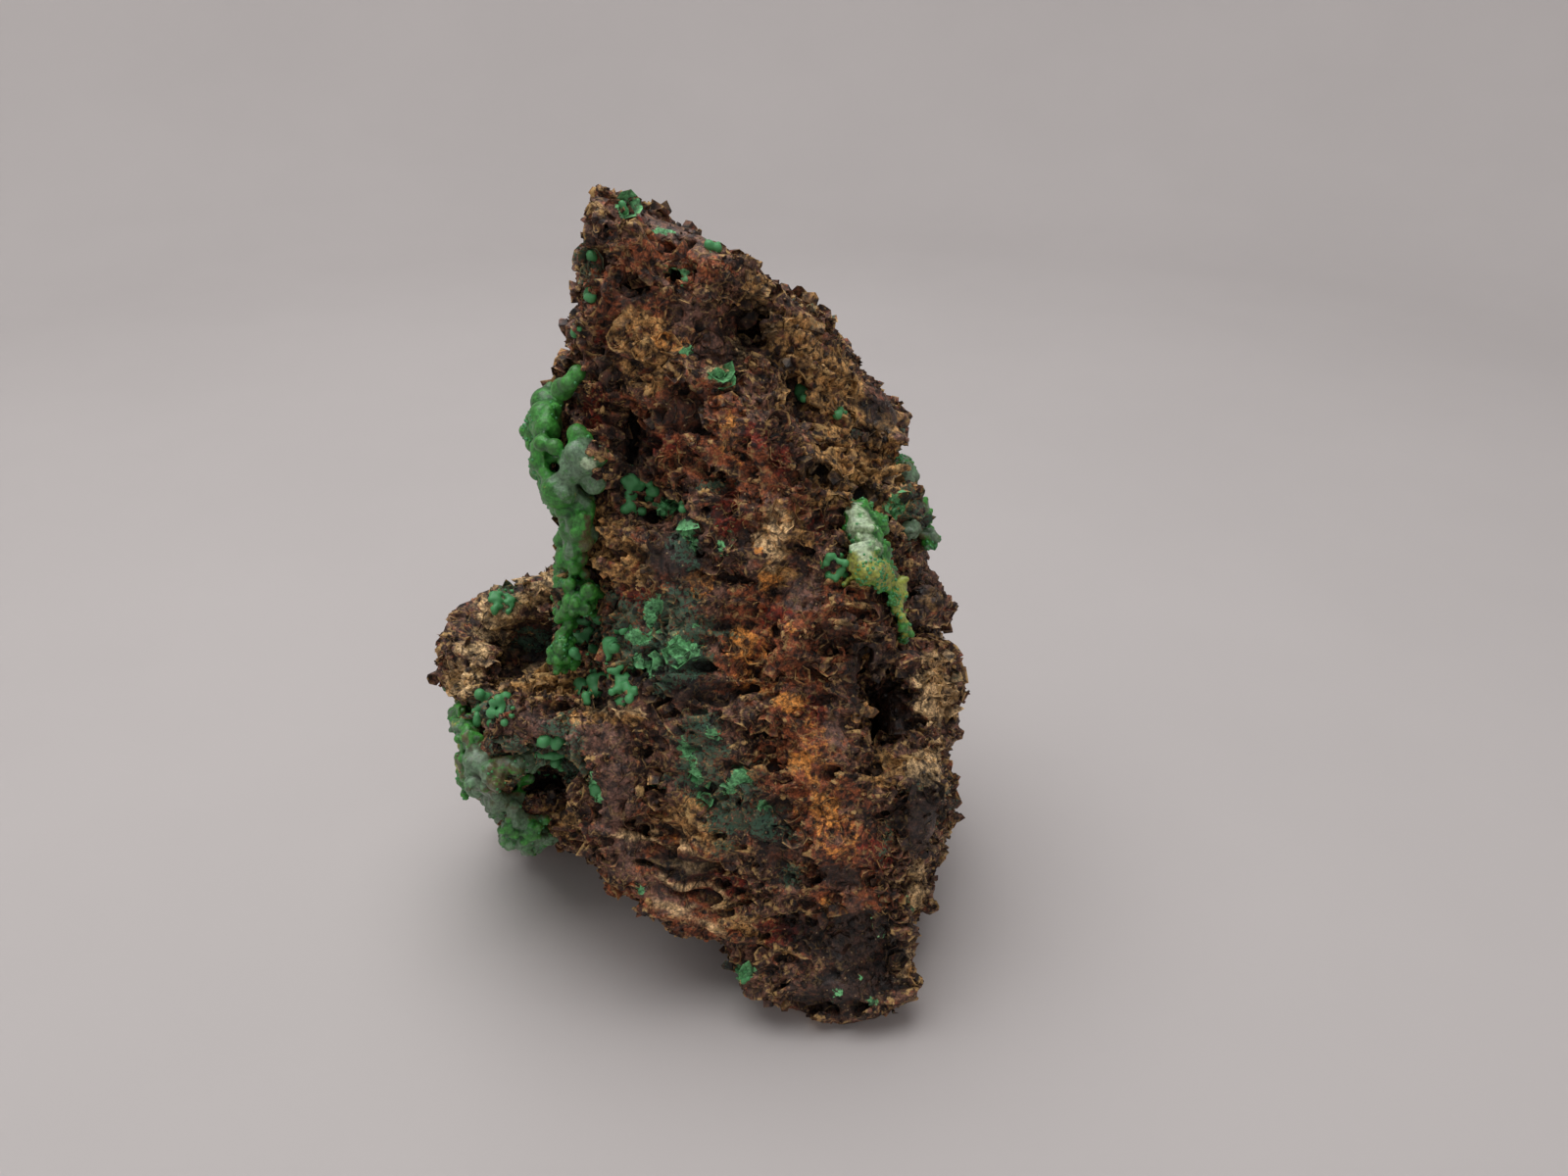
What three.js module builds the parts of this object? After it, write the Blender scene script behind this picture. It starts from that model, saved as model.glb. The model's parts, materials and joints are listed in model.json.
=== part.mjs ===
// A conichalcite specimen: a hand-sized chunk of rusty gossan, the rotten iron-oxide rock over a copper vein,
// with lumpy green crusts of conichalcite grown on its open sides. It stands on three natural feet.
// Millimetres, +Z up. The broad broken face looks along -Y. The origin is at the middle of the base.
import * as THREE from "three";
import { SimplifyModifier } from "three/addons/modifiers/SimplifyModifier.js";
import { mergeVertices } from "three/addons/utils/BufferGeometryUtils.js";

// Driving dimensions
const STONE_CELL = 1.0; // spacing of the samples that the rock is skinned from
const CRUST_CELL = 0.8; // the same for the green crusts, which are finer
const STONE_TRIANGLES = 7400;
const CRUST_GAP = 0.55; // clear space between a crust and the rock under it
const BED_DEPTH = 1.5; // how deep the crusts' beds are sunk in the rock
const COVER_EDGE = 1.5; // distance over which a bed runs out at its rim
const FACE_AT_GROUND = -20; // where the broken face would meet the ground, along Y
const FACE_LEAN = 0.28; // how far the broken face leans back for each millimetre of height
const SETBACK = 6.5; // how far the rock beside the face plate stands back from it
const GROUND_SNAP = 0.4; // the skin this close to the ground is set on it, so that the feet are flat
const LUMP_BLEND = 3.2; // how softly neighbouring lumps run together
const SWELL = [6.5, 1.3]; // size and height of the broad swells in the broken rock
const RIDGE = [5, 2.8]; // size and height of the sharp boxwork ridges
const CRUMB = [3.6, 1.6]; // size and height of the crumbs
const PIT = [6, 8]; // spacing and steepness of the scattered pits
const KNOB = [2.6, 1.2]; // size and height of the knobs on the crusts
const CALM = 0.65; // how much of the roughness is missing where a crust covers the rock
const ROCK_BROWN = 0x4a3026;
const CRUST_GREEN = 0x2e7d46;
const CRUST_PALE = 0x7fae86;

// The outline is what the eye sees from just in front of the stone and a little above it.
// Each point is in millimetres across and up, on a plane through the stone's middle that faces the eye.
const EYE = new THREE.Vector3(5, -82, 80);
const EYE_TILT = THREE.MathUtils.degToRad(31);
const OUTLINE_DISTANCE = 97;
const OUTLINE = [
  [-14.9, 33.3], [-13.5, 31.9], [-12.6, 30.4], [-11.9, 31.0], [-9.8, 30.3], [-7.1, 29.2],
  [-5.6, 28.3], [-4.1, 27.5], [-2.9, 25.5], [-0.8, 24.7], [2.4, 22.0], [3.7, 20.5],
  [5.8, 18.4], [6.3, 16.8], [7.1, 16.9], [8.8, 15.6], [9.6, 14.2], [9.1, 12.5],
  [10.0, 10.1], [12.0, 6.2], [11.9, 3.7], [11.3, 1.9], [10.5, 1.7], [11.8, 0.7],
  [13.2, -0.7], [13.3, -2.3], [12.6, -2.9], [10.7, -3.8], [12.1, -4.2], [13.6, -6.1],
  [14.3, -8.1], [14.2, -10.5], [12.6, -13.7], [13.4, -15.5], [13.5, -18.0], [12.8, -20.1],
  [11.6, -22.5], [11.7, -25.5], [10.1, -28.2], [10.7, -30.9], [11.2, -32.5], [9.9, -34.1],
  [7.8, -35.5], [5.2, -36.2], [3.1, -35.7], [-2.3, -33.2], [-4.4, -31.5], [-5.3, -29.7],
  [-8.9, -28.3], [-11.9, -26.4], [-14.3, -25.1], [-14.4, -23.4], [-16.3, -21.0], [-18.8, -21.0],
  [-20.3, -20.7], [-21.5, -21.6], [-22.8, -20.7], [-24.0, -17.7], [-26.3, -16.2], [-26.9, -14.4],
  [-26.3, -12.3], [-27.3, -11.2], [-27.4, -8.7], [-28.3, -4.9], [-27.3, -2.4], [-25.6, -0.6],
  [-23.5, 0.4], [-20.0, 0.7], [-18.2, 1.5], [-17.9, 5.6], [-19.3, 8.2], [-20.4, 10.4],
  [-20.4, 13.6], [-19.3, 15.1], [-19.3, 16.6], [-18.2, 18.1], [-16.8, 18.7], [-16.3, 20.2],
  [-17.2, 21.4], [-16.4, 22.6], [-16.3, 28.3], [-17.0, 30.4], [-16.3, 31.9],
];

// The rock's lumps: middle, then half-widths along X, Y and Z.
const LUMPS = {
  frontFoot: [[10, -13, 3], [9, 9, 9]],
  lowerBody: [[5, -8, 13], [14.5, 9.5, 10]],
  belly: [[3.5, -5.5, 22], [15.5, 10, 11]],
  middle: [[2, -2.5, 32], [13.5, 10, 11]],
  shoulder: [[-1.5, 0, 42], [9.5, 8.5, 10]],
  leftShoulder: [[-9, 0, 42], [5, 6.5, 8]],
  neck: [[-4.5, 2.5, 51], [7.5, 6, 8]],
  tip: [[-6, 1.5, 58], [3.2, 3.5, 6]],
  crest: [[-1.5, 2, 56], [4.5, 3.5, 4]],
  upperRear: [[3, 9, 46], [8, 7, 10]],
  rearShoulder: [[8.5, 9.5, 37], [10, 7.5, 9]],
  rearKnob: [[12.8, 8, 43], [3, 3, 3]],
  rightKnob: [[14.8, 0, 30], [4.5, 4.5, 4]],
  rightRear: [[13.5, 5, 18], [9, 9, 12]],
  rightFlank: [[14, -4, 11], [6.5, 6, 10]],
  rearCore: [[0, 7, 26], [13, 11, 15]],
  rearFoot: [[4, 9, 6], [10, 8, 10]],
  leftLobe: [[-17, 4.5, 22.5], [10, 7.5, 8]],
  leftLower: [[-16, -1.5, 13], [9, 8.5, 8.5]],
  leftShelf: [[-15, -5, 20.5], [7, 5.5, 4.5]],
  leftFoot: [[-17.5, 5, 3], [5, 5, 6]],
};

// Vugs and gaps sunk into the rock, as the lumps are written.
const HOLLOWS = {
  upperVug: [[2.2, -1, 52.6], [1.7, 7, 2.1]],
  greenVug: [[5.6, -3, 48.2], [1.4, 7, 1.8]],
  leftSlot: [[-5.6, -6, 46.4], [0.8, 4, 2.2]],
  cavity: [[-6.4, -9, 41.8], [4, 4.5, 2.6]],
  sideGap: [[-10.8, -6.5, 29.2], [2.6, 7, 3.4]],
  lobeHollow: [[-16.5, -1, 24.2], [3.0, 4.5, 1.8]],
  rightCleft: [[12, -9, 25.4], [2, 7, 5.4]],
  rightPocket: [[13, -9, 19.8], [2.4, 7, 1.8]],
  underLedge: [[-13, -10, 17.4], [4.4, 3.8, 4.6]],
  sidePit: [[-6.6, -12.5, 19.5], [1.6, 3, 1.4]],
  footArch: [[-6, -9, -1], [9, 7, 4.5]],
  rearArch: [[-8, 14, -1], [7, 8, 5]],
  backVug: [[-4, 17, 31], [3, 4.5, 2.8]],
};

// Flat broken surfaces on the hidden sides: a point on each, then the way it looks.
const BREAKS = {
  back: [[0, 15.8, 30], [0.08, 0.97, 0.22]],
  backRight: [[14.5, 12, 30], [0.74, 0.66, 0.1]],
  backLeft: [[-14, 10, 25], [-0.55, 0.83, 0.08]],
};

// Right edge of the face plate as [height, X]. Past it the rock stands back.
const FACE_EDGE = [
  [60, 1.5], [54, 2.2], [50, 5], [45.5, 5.3], [41.7, 8.3], [38.6, 12], [36, 12.8], [31, 13.6],
  [28, 12], [24, 13], [21.5, 16.5], [20, 17.6], [12, 15.2], [7.5, 15.4], [4.5, 16.8], [0, 16.8],
];

// A dense, smooth ledge bends round the lower left of the broken face.
const LEDGE = [
  [-15.8, -8.6, 24.6], [-10.2, -10.4, 24.6], [-7.4, -11.6, 22.6],
  [-9.0, -12.4, 17.6], [-7.2, -14.2, 12.6], [-3.4, -15.2, 9.2],
];
const LEDGE_RADIUS = 2;
const LEDGE_BLEND = 0.8;

// The green crusts: colour, thickness and triangles, the lumps where each one covers the rock,
// and the lobes that stand out from it as X, Y, Z and radius.
const CRUSTS = {
  left_edge_crust: {
    color: CRUST_GREEN,
    thickness: 2.2,
    triangles: 900,
    covers: [
      [[-13.6, -1.5, 45.4], [3.8, 6.5, 6.2]], [[-11.8, -4.5, 40], [3.8, 6.5, 5]],
      [[-11.6, -5, 34], [2.8, 5, 5]], [[-11, -6.5, 30], [2.8, 4.6, 3.4]],
    ],
    lobes: [
      [-12.2, -1.6, 48.6, 1.5], [-13.0, -1.6, 46.0, 1.5], [-13.6, -2.4, 43.6, 1.5], [-11.8, -4.6, 41.2, 1.7],
      [-11.2, -5.6, 38.4, 1.6], [-11.4, -5.2, 35.2, 1.4], [-11.4, -7.4, 29.4, 1.3],
    ],
  },
  lower_left_crust: {
    color: CRUST_GREEN,
    thickness: 2.2,
    triangles: 900,
    covers: [
      [[-21, -4.5, 12.5], [8, 11, 9.5]], [[-19, -6, 19.8], [7, 7, 3.8]], [[-19, -4, 6], [6.5, 9, 4.5]],
    ],
    lobes: [
      [-22.4, -2.0, 12.0, 2.2], [-21.0, -3.4, 8.6, 2.2], [-18.4, -4.6, 6.4, 2.1], [-22.6, -1.0, 16.0, 1.9],
      [-18.6, -6.6, 19.4, 1.6],
    ],
  },
  right_cap_crust: {
    color: CRUST_PALE,
    thickness: 2.5,
    triangles: 360,
    covers: [
      [[11.2, -6.6, 38.8], [2.7, 4.4, 3.2]], [[10, -7.8, 36.4], [2.6, 3.4, 2]],
      [[13.8, -7, 33.6], [2, 4, 3.8]],
    ],
    lobes: [[11.0, -7.0, 39.4, 1.2], [11.2, -8.0, 37.2, 1.1], [13.6, -7.4, 34.6, 1.1]],
  },
  rear_right_crust: {
    color: CRUST_GREEN,
    thickness: 2.4,
    triangles: 320,
    covers: [[[16.2, 4.5, 36.5], [4.4, 6.2, 4.4]]],
    lobes: [[15.4, 3.0, 37.4, 1.5], [15.8, 2.6, 35.2, 1.3]],
  },
};

// Repeatable pseudo-random number from 0 to 1 for a lattice point.
function chance(i, j, k, seed) {
  let h = (i * 374761393 + j * 668265263 + k * 1274126177 + seed * 974634777) | 0;
  h = Math.imul(h ^ (h >>> 13), 1274126177);
  h = Math.imul(h ^ (h >>> 16), 2246822519);
  return ((h ^ (h >>> 13)) >>> 0) / 4294967296;
}

// Turned axes, measured in sizes, so that the random lattices don't line up with the stone.
function turned(x, y, z, size) {
  const [a, b, c] = [0.8 * y + 0.6 * z, 0.36 * y - 0.8 * x - 0.48 * z, 0.64 * z - 0.6 * x - 0.48 * y];
  return [a / size, b / size, c / size];
}

// Smooth random waves from -1 to 1, about one bump for each size.
function waves(x, y, z, size, seed) {
  const [fx, fy, fz] = turned(x, y, z, size);
  const [i, j, k] = [Math.floor(fx), Math.floor(fy), Math.floor(fz)];
  const ease = (t) => t * t * (3 - 2 * t);
  const [u, v, w] = [ease(fx - i), ease(fy - j), ease(fz - k)];
  let sum = 0;
  for (let c = 0; c < 8; c++) {
    const [a, b, d] = [c & 1, (c >> 1) & 1, c >> 2];
    sum += (a ? u : 1 - u) * (b ? v : 1 - v) * (d ? w : 1 - w) * chance(i + a, j + b, k + d, seed);
  }
  return sum * 2 - 1;
}

// Distance to the nearest of scattered grain centres, in sizes: 0 at a centre and about 1 between grains.
function grains(x, y, z, size, seed) {
  const [fx, fy, fz] = turned(x, y, z, size);
  const [i, j, k] = [Math.floor(fx), Math.floor(fy), Math.floor(fz)];
  let nearest = 9;
  for (let a = i - 1; a <= i + 1; a++)
    for (let b = j - 1; b <= j + 1; b++)
      for (let c = k - 1; c <= k + 1; c++) {
        const dx = a + chance(a, b, c, seed) - fx;
        const dy = b + chance(a, b, c, seed + 1) - fy;
        const dz = c + chance(a, b, c, seed + 2) - fz;
        nearest = Math.min(nearest, dx * dx + dy * dy + dz * dz);
      }
  return Math.sqrt(nearest);
}

// Every field below is negative inside its form, and about a distance in millimetres near its surface.
const smoothMin = (a, b, k) => Math.min(a, b) - (Math.max(k - Math.abs(a - b), 0) / k) ** 2 * k * 0.25;
const smoothMax = (a, b, k) => -smoothMin(-a, -b, k);

function lump(x, y, z, [[cx, cy, cz], [rx, ry, rz]]) {
  const [dx, dy, dz] = [x - cx, y - cy, z - cz];
  const near = Math.hypot(dx / rx, dy / ry, dz / rz);
  const slope = Math.hypot(dx / rx ** 2, dy / ry ** 2, dz / rz ** 2);
  return slope > 1e-9 ? (near * (near - 1)) / slope : -Math.min(rx, ry, rz);
}

function rod(x, y, z, [ax, ay, az], [bx, by, bz], radius) {
  const [ux, uy, uz] = [bx - ax, by - ay, bz - az];
  const along = ((x - ax) * ux + (y - ay) * uy + (z - az) * uz) / (ux * ux + uy * uy + uz * uz);
  const t = Math.min(1, Math.max(0, along));
  return Math.hypot(x - ax - ux * t, y - ay - uy * t, z - az - uz * t) - radius;
}

// How far outside the outline a point lies, as the eye sees it.
function outsideOutline(x, y, z) {
  const [dx, dy, dz] = [x - EYE.x, y - EYE.y, z - EYE.z];
  const away = dy * Math.cos(EYE_TILT) - dz * Math.sin(EYE_TILT);
  const up = dy * Math.sin(EYE_TILT) + dz * Math.cos(EYE_TILT);
  const [u, v] = [(dx * OUTLINE_DISTANCE) / away, (up * OUTLINE_DISTANCE) / away];
  let nearest = Infinity;
  let inside = false;
  for (let n = 0, m = OUTLINE.length - 1; n < OUTLINE.length; m = n++) {
    const [[au, av], [bu, bv]] = [OUTLINE[m], OUTLINE[n]];
    const t = ((u - au) * (bu - au) + (v - av) * (bv - av)) / ((bu - au) ** 2 + (bv - av) ** 2);
    const s = Math.min(1, Math.max(0, t));
    nearest = Math.min(nearest, Math.hypot(u - au - (bu - au) * s, v - av - (bv - av) * s));
    if (av > v !== bv > v && u < au + ((bu - au) * (v - av)) / (bv - av)) inside = !inside;
  }
  return ((inside ? -nearest : nearest) * away) / OUTLINE_DISTANCE;
}

// How far a point lies to the right of the face plate's edge.
function pastFaceEdge(x, z) {
  const next = Math.max(1, FACE_EDGE.findIndex(([height]) => height < Math.max(z, 0.1)));
  const [[upper, upperX], [lower, lowerX]] = [FACE_EDGE[next - 1], FACE_EDGE[next]];
  const t = Math.min(1, Math.max(0, (upper - z) / (upper - lower)));
  return x - upperX - (lowerX - upperX) * t;
}

// Negative where a crust may lie.
function cover(x, y, z, covers) {
  let region = Infinity;
  for (const one of covers) region = smoothMin(region, lump(x, y, z, one), 1);
  return region;
}

// From 0 on bare rock to 1 where a crust covers it.
function covered(x, y, z) {
  let most = 0;
  for (const { covers } of Object.values(CRUSTS)) most = Math.max(most, -cover(x, y, z, covers) / COVER_EDGE);
  return Math.min(1, most);
}

// The stone as it would be with no bed sunk for the crusts. It is calmer where they lie.
function wholeStone(x, y, z, underCrust) {
  let d = Infinity;
  for (const one of Object.values(LUMPS)) d = smoothMin(d, lump(x, y, z, one), LUMP_BLEND);
  const beforeFace = (FACE_AT_GROUND + FACE_LEAN * z - y) / Math.hypot(1, FACE_LEAN);
  d = smoothMax(d, beforeFace, 1.5);
  d = smoothMax(d, Math.min(pastFaceEdge(x, z), beforeFace + SETBACK), 1.2);
  for (const [[px, py, pz], [nx, ny, nz]] of Object.values(BREAKS)) {
    d = smoothMax(d, (x - px) * nx + (y - py) * ny + (z - pz) * nz, 1);
  }
  for (const one of Object.values(HOLLOWS)) d = smoothMax(d, -lump(x, y, z, one), 1);
  let rough = SWELL[1] * waves(x, y, z, SWELL[0], 3);
  rough -= RIDGE[1] * (0.35 - Math.abs(waves(x, y, z, RIDGE[0], 31)));
  rough += CRUMB[1] * (grains(x, y, z, CRUMB[0], 20) - 0.55);
  rough += PIT[1] * Math.max(0, 0.36 - grains(x, y, z, PIT[0], 60));
  d += rough * (1 - CALM * underCrust);
  for (let n = 1; n < LEDGE.length; n++) {
    d = smoothMin(d, rod(x, y, z, LEDGE[n - 1], LEDGE[n], LEDGE_RADIUS), LEDGE_BLEND);
  }
  d = smoothMax(d, outsideOutline(x, y, z), 0.8);
  return Math.max(d, -z);
}

function rock(x, y, z) {
  const underCrust = covered(x, y, z);
  return wholeStone(x, y, z, underCrust) + BED_DEPTH * underCrust;
}

function crust(x, y, z, { thickness, covers, lobes }) {
  const underCrust = covered(x, y, z);
  const stone = wholeStone(x, y, z, underCrust);
  const knobs = KNOB[1] * (0.6 - grains(x, y, z, KNOB[0], 40));
  let d = smoothMax(stone - (thickness - BED_DEPTH) - knobs, cover(x, y, z, covers), 0.8);
  for (const [cx, cy, cz, r] of lobes) d = smoothMin(d, Math.hypot(x - cx, y - cy, z - cz) - r, 0.8);
  d = smoothMax(d, outsideOutline(x, y, z), 0.6);
  return Math.max(d, CRUST_GAP - stone - BED_DEPTH * underCrust, -z);
}

// Samples a field on a grid, positive all round its rim.
function sample(field, low, high, cell) {
  const size = low.map((v, a) => Math.ceil((high[a] - v) / cell) + 1);
  const step = [1, size[0], size[0] * size[1]];
  const values = new Float32Array(size[0] * size[1] * size[2]);
  for (let k = 0, n = 0; k < size[2]; k++)
    for (let j = 0; j < size[1]; j++)
      for (let i = 0; i < size[0]; i++, n++) {
        const rim = [i, j, k].some((at, a) => at === 0 || at === size[a] - 1);
        const value = field(low[0] + i * cell, low[1] + j * cell, low[2] + k * cell);
        values[n] = rim ? Math.max(value, cell * 0.3) : value;
      }
  const grid = { values, size, step, low, cell };
  soften(grid, () => true);
  return grid;
}

// Moves the chosen samples halfway to the mean of their neighbours, which closes what is too narrow to skin.
// Then keeps the largest body, with no sealed hollow and no two corners that meet at a point.
function soften(grid, chosen) {
  const { values, size, step, low, cell } = grid;
  const old = values.slice();
  for (let k = 1, n; k < size[2] - 1; k++)
    for (let j = 1; j < size[1] - 1; j++)
      for (let i = 1; i < size[0] - 1; i++) {
        if (!chosen(low[0] + i * cell, low[1] + j * cell, low[2] + k * cell)) continue;
        n = i + j * step[1] + k * step[2];
        let sum = 0;
        for (const s of step) sum += old[n - s] + old[n + s];
        values[n] = old[n] / 2 + sum / 12;
      }
  for (let pass = 0; pass < 12; pass++) {
    keepLargest(grid, (v) => v < 0, cell * 0.3);
    keepLargest(grid, (v) => v >= 0, -cell * 0.3);
    if (!mendCorners(grid)) break;
  }
}

// Finds the bodies of samples that pass a test, and gives every body but the largest a new value.
function keepLargest({ values, step }, test, replacement) {
  const label = new Int32Array(values.length);
  const counts = [0];
  for (let start = 0; start < values.length; start++) {
    if (label[start] || !test(values[start])) continue;
    const stack = [start];
    label[start] = counts.length;
    let count = 0;
    while (stack.length) {
      const n = stack.pop();
      count++;
      for (const s of step)
        for (const m of [n - s, n + s])
          if (m >= 0 && m < values.length && !label[m] && test(values[m])) {
            label[m] = counts.length;
            stack.push(m);
          }
    }
    counts.push(count);
  }
  const largest = counts.indexOf(Math.max(...counts));
  for (let n = 0; n < values.length; n++) if (label[n] && label[n] !== largest) values[n] = replacement;
}

// Fills a sample wherever a cube's inside or outside corners form two groups, which would pinch the skin.
function mendCorners({ values, size, step, cell }) {
  let mended = 0;
  const offset = (c) => (c & 1) * step[0] + ((c >> 1) & 1) * step[1] + (c >> 2) * step[2];
  const corner = [0, 1, 2, 3, 4, 5, 6, 7].map(offset);
  const groups = (mask) => {
    let found = 0;
    let left = mask;
    while (left) {
      let group = left & -left;
      for (let grown = 0; grown !== group; ) {
        grown = group;
        for (let c = 0; c < 8; c++)
          if (group & (1 << c)) group |= ((1 << (c ^ 1)) | (1 << (c ^ 2)) | (1 << (c ^ 4))) & mask;
      }
      left &= ~group;
      found++;
    }
    return found;
  };
  for (let k = 0; k < size[2] - 1; k++)
    for (let j = 0; j < size[1] - 1; j++)
      for (let i = 0; i < size[0] - 1; i++) {
        const n = i + j * step[1] + k * step[2];
        let mask = 0;
        for (let c = 0; c < 8; c++) if (values[n + corner[c]] < 0) mask |= 1 << c;
        const faces = [[0, 1, 2, 3], [4, 5, 6, 7], [0, 1, 4, 5], [2, 3, 6, 7], [0, 2, 4, 6], [1, 3, 5, 7]];
        const pinched = faces.some(([a, b, c, d]) => {
          const [p, q, r, s] = [a, b, c, d].map((x) => (mask >> x) & 1);
          return p === s && q === r && p !== q;
        });
        if (!mask || mask === 255 || (!pinched && groups(mask) === 1 && groups(~mask & 255) === 1)) continue;
        let best = -1;
        for (let c = 0; c < 8; c++)
          if (!(mask & (1 << c)) && (best < 0 || values[n + corner[c]] < values[n + corner[best]])) best = c;
        values[n + corner[best]] = -cell * 0.1;
        mended++;
      }
  return mended;
}

// Skins a sampled field, with one vertex in each cube that the surface passes through
// and one quad across each edge that it crosses.
function skin({ values, size, step, low, cell }) {
  const vertexOf = new Map();
  const positions = [];
  const index = [];
  const corner = [0, 1, 2, 3, 4, 5, 6, 7].map((c) => [c & 1, (c >> 1) & 1, c >> 2]);
  const vertex = (i, j, k) => {
    const n = i + j * step[1] + k * step[2];
    if (vertexOf.has(n)) return vertexOf.get(n);
    const sum = [0, 0, 0];
    let crossings = 0;
    for (let c = 0; c < 8; c++)
      for (const bit of [1, 2, 4]) {
        if (c & bit) continue;
        const [a, b] = [corner[c], corner[c | bit]];
        const va = values[n + a[0] * step[0] + a[1] * step[1] + a[2] * step[2]];
        const vb = values[n + b[0] * step[0] + b[1] * step[1] + b[2] * step[2]];
        if (va < 0 === vb < 0) continue;
        const t = va / (va - vb);
        for (let x = 0; x < 3; x++) sum[x] += a[x] + (b[x] - a[x]) * t;
        crossings++;
      }
    const place = [i, j, k].map((v, x) => low[x] + (v + sum[x] / crossings) * cell);
    if (Math.abs(place[2]) < GROUND_SNAP) place[2] = 0;
    positions.push(...place);
    vertexOf.set(n, positions.length / 3 - 1);
    return vertexOf.get(n);
  };
  for (let k = 1; k < size[2] - 1; k++)
    for (let j = 1; j < size[1] - 1; j++)
      for (let i = 1; i < size[0] - 1; i++)
        for (let x = 0; x < 3; x++) {
          const n = i + j * step[1] + k * step[2];
          const [inside, next] = [values[n] < 0, values[n + step[x]] < 0];
          if (inside === next) continue;
          const at = (p, q) => {
            const c = [i, j, k];
            c[(x + 1) % 3] -= p;
            c[(x + 2) % 3] -= q;
            return vertex(...c);
          };
          const quad = [at(1, 1), at(0, 1), at(0, 0), at(1, 0)];
          if (!inside) quad.reverse();
          index.push(quad[0], quad[1], quad[2], quad[0], quad[2], quad[3]);
        }
  const geometry = new THREE.BufferGeometry();
  geometry.setAttribute("position", new THREE.Float32BufferAttribute(positions, 3));
  geometry.setIndex(index);
  return geometry;
}

// Drops vertices where the surface is nearly flat until about the wanted number of triangles is left.
async function thin(geometry, triangles) {
  const excess = Math.max(0, 1 - (triangles * 3) / geometry.index.count);
  const vertices = Math.round(geometry.attributes.position.count * excess);
  return mergeVertices(await new SimplifyModifier().modify(geometry, vertices), 1e-4);
}

// The vertices whose triangles don't make one closed ring.
function pinches(geometry) {
  const index = geometry.index.array;
  const position = geometry.attributes.position;
  const rings = Array.from({ length: position.count }, () => new Map());
  const found = new Set();
  for (let n = 0; n < index.length; n++) {
    const first = n - (n % 3);
    const [at, next, last] = [0, 1, 2].map((turn) => index[first + ((n + turn) % 3)]);
    if (rings[at].has(next)) found.add(at);
    rings[at].set(next, last);
  }
  rings.forEach((ring, vertex) => {
    const start = ring.keys().next().value;
    let at = ring.get(start);
    let count = 1;
    while (at !== start && at !== undefined && count < ring.size) {
      at = ring.get(at);
      count++;
    }
    if (at !== start || count !== ring.size) found.add(vertex);
  });
  return [...found].map((vertex) => new THREE.Vector3().fromBufferAttribute(position, vertex));
}

// Skins and thins a field, and softens it again round each place where the thin skin is pinched.
async function piece(name, field, low, high, cell, triangles) {
  const grid = sample(field, low, high, cell);
  let geometry = await thin(skin(grid), triangles);
  const tries = 20;
  for (let n = 0; n < tries && pinches(geometry).length; n++) {
    const places = pinches(geometry);
    soften(grid, (...at) => places.some((place) => place.distanceTo(new THREE.Vector3(...at)) < 3 * cell));
    geometry = await thin(skin(grid), triangles);
  }
  if (pinches(geometry).length) throw new Error(`${name} has a pinched skin`);
  geometry.computeVertexNormals();
  const mesh = new THREE.Mesh(geometry);
  mesh.name = name;
  return mesh;
}

const specimen = new THREE.Group();
specimen.name = "conichalcite_specimen";
const stoneLow = [-31, -23, -2.9];
const stoneHigh = [26, 24, 66];
const stone = await piece("gossan_matrix", rock, stoneLow, stoneHigh, STONE_CELL, STONE_TRIANGLES);
stone.material = new THREE.MeshStandardMaterial({ color: ROCK_BROWN, roughness: 0.85 });
specimen.add(stone);

const margin = 5;
for (const [name, made] of Object.entries(CRUSTS)) {
  const low = [0, 1, 2].map((a) => Math.min(...made.covers.map(([c, r]) => c[a] - r[a])) - margin);
  const high = [0, 1, 2].map((a) => Math.max(...made.covers.map(([c, r]) => c[a] + r[a])) + margin);
  low[2] = Math.max(low[2], stoneLow[2]);
  const field = (x, y, z) => crust(x, y, z, made);
  const grown = await piece(name, field, low, high, CRUST_CELL, made.triangles);
  grown.material = new THREE.MeshStandardMaterial({ color: made.color, roughness: 0.45 });
  specimen.add(grown);
}

// The origin goes to the middle of the base.
const box = new THREE.Box3().setFromObject(specimen);
const middle = box.getCenter(new THREE.Vector3());
for (const mesh of specimen.children) mesh.geometry.translate(-middle.x, -middle.y, -box.min.z);

export default specimen;
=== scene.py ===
"""A conichalcite specimen: rusty boxwork gossan with lumpy green crusts on its open sides.

Fields, spots and sizes of grains are in millimetres. Meshes, lights and the camera are in metres.
"""
import itertools
import json
import math

import bmesh
import bpy
import numpy as np
import openvdb
from bpy.props import FloatProperty, FloatVectorProperty, IntProperty, PointerProperty
from mathutils import Matrix, Vector
from mathutils.bvhtree import BVHTree

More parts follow.
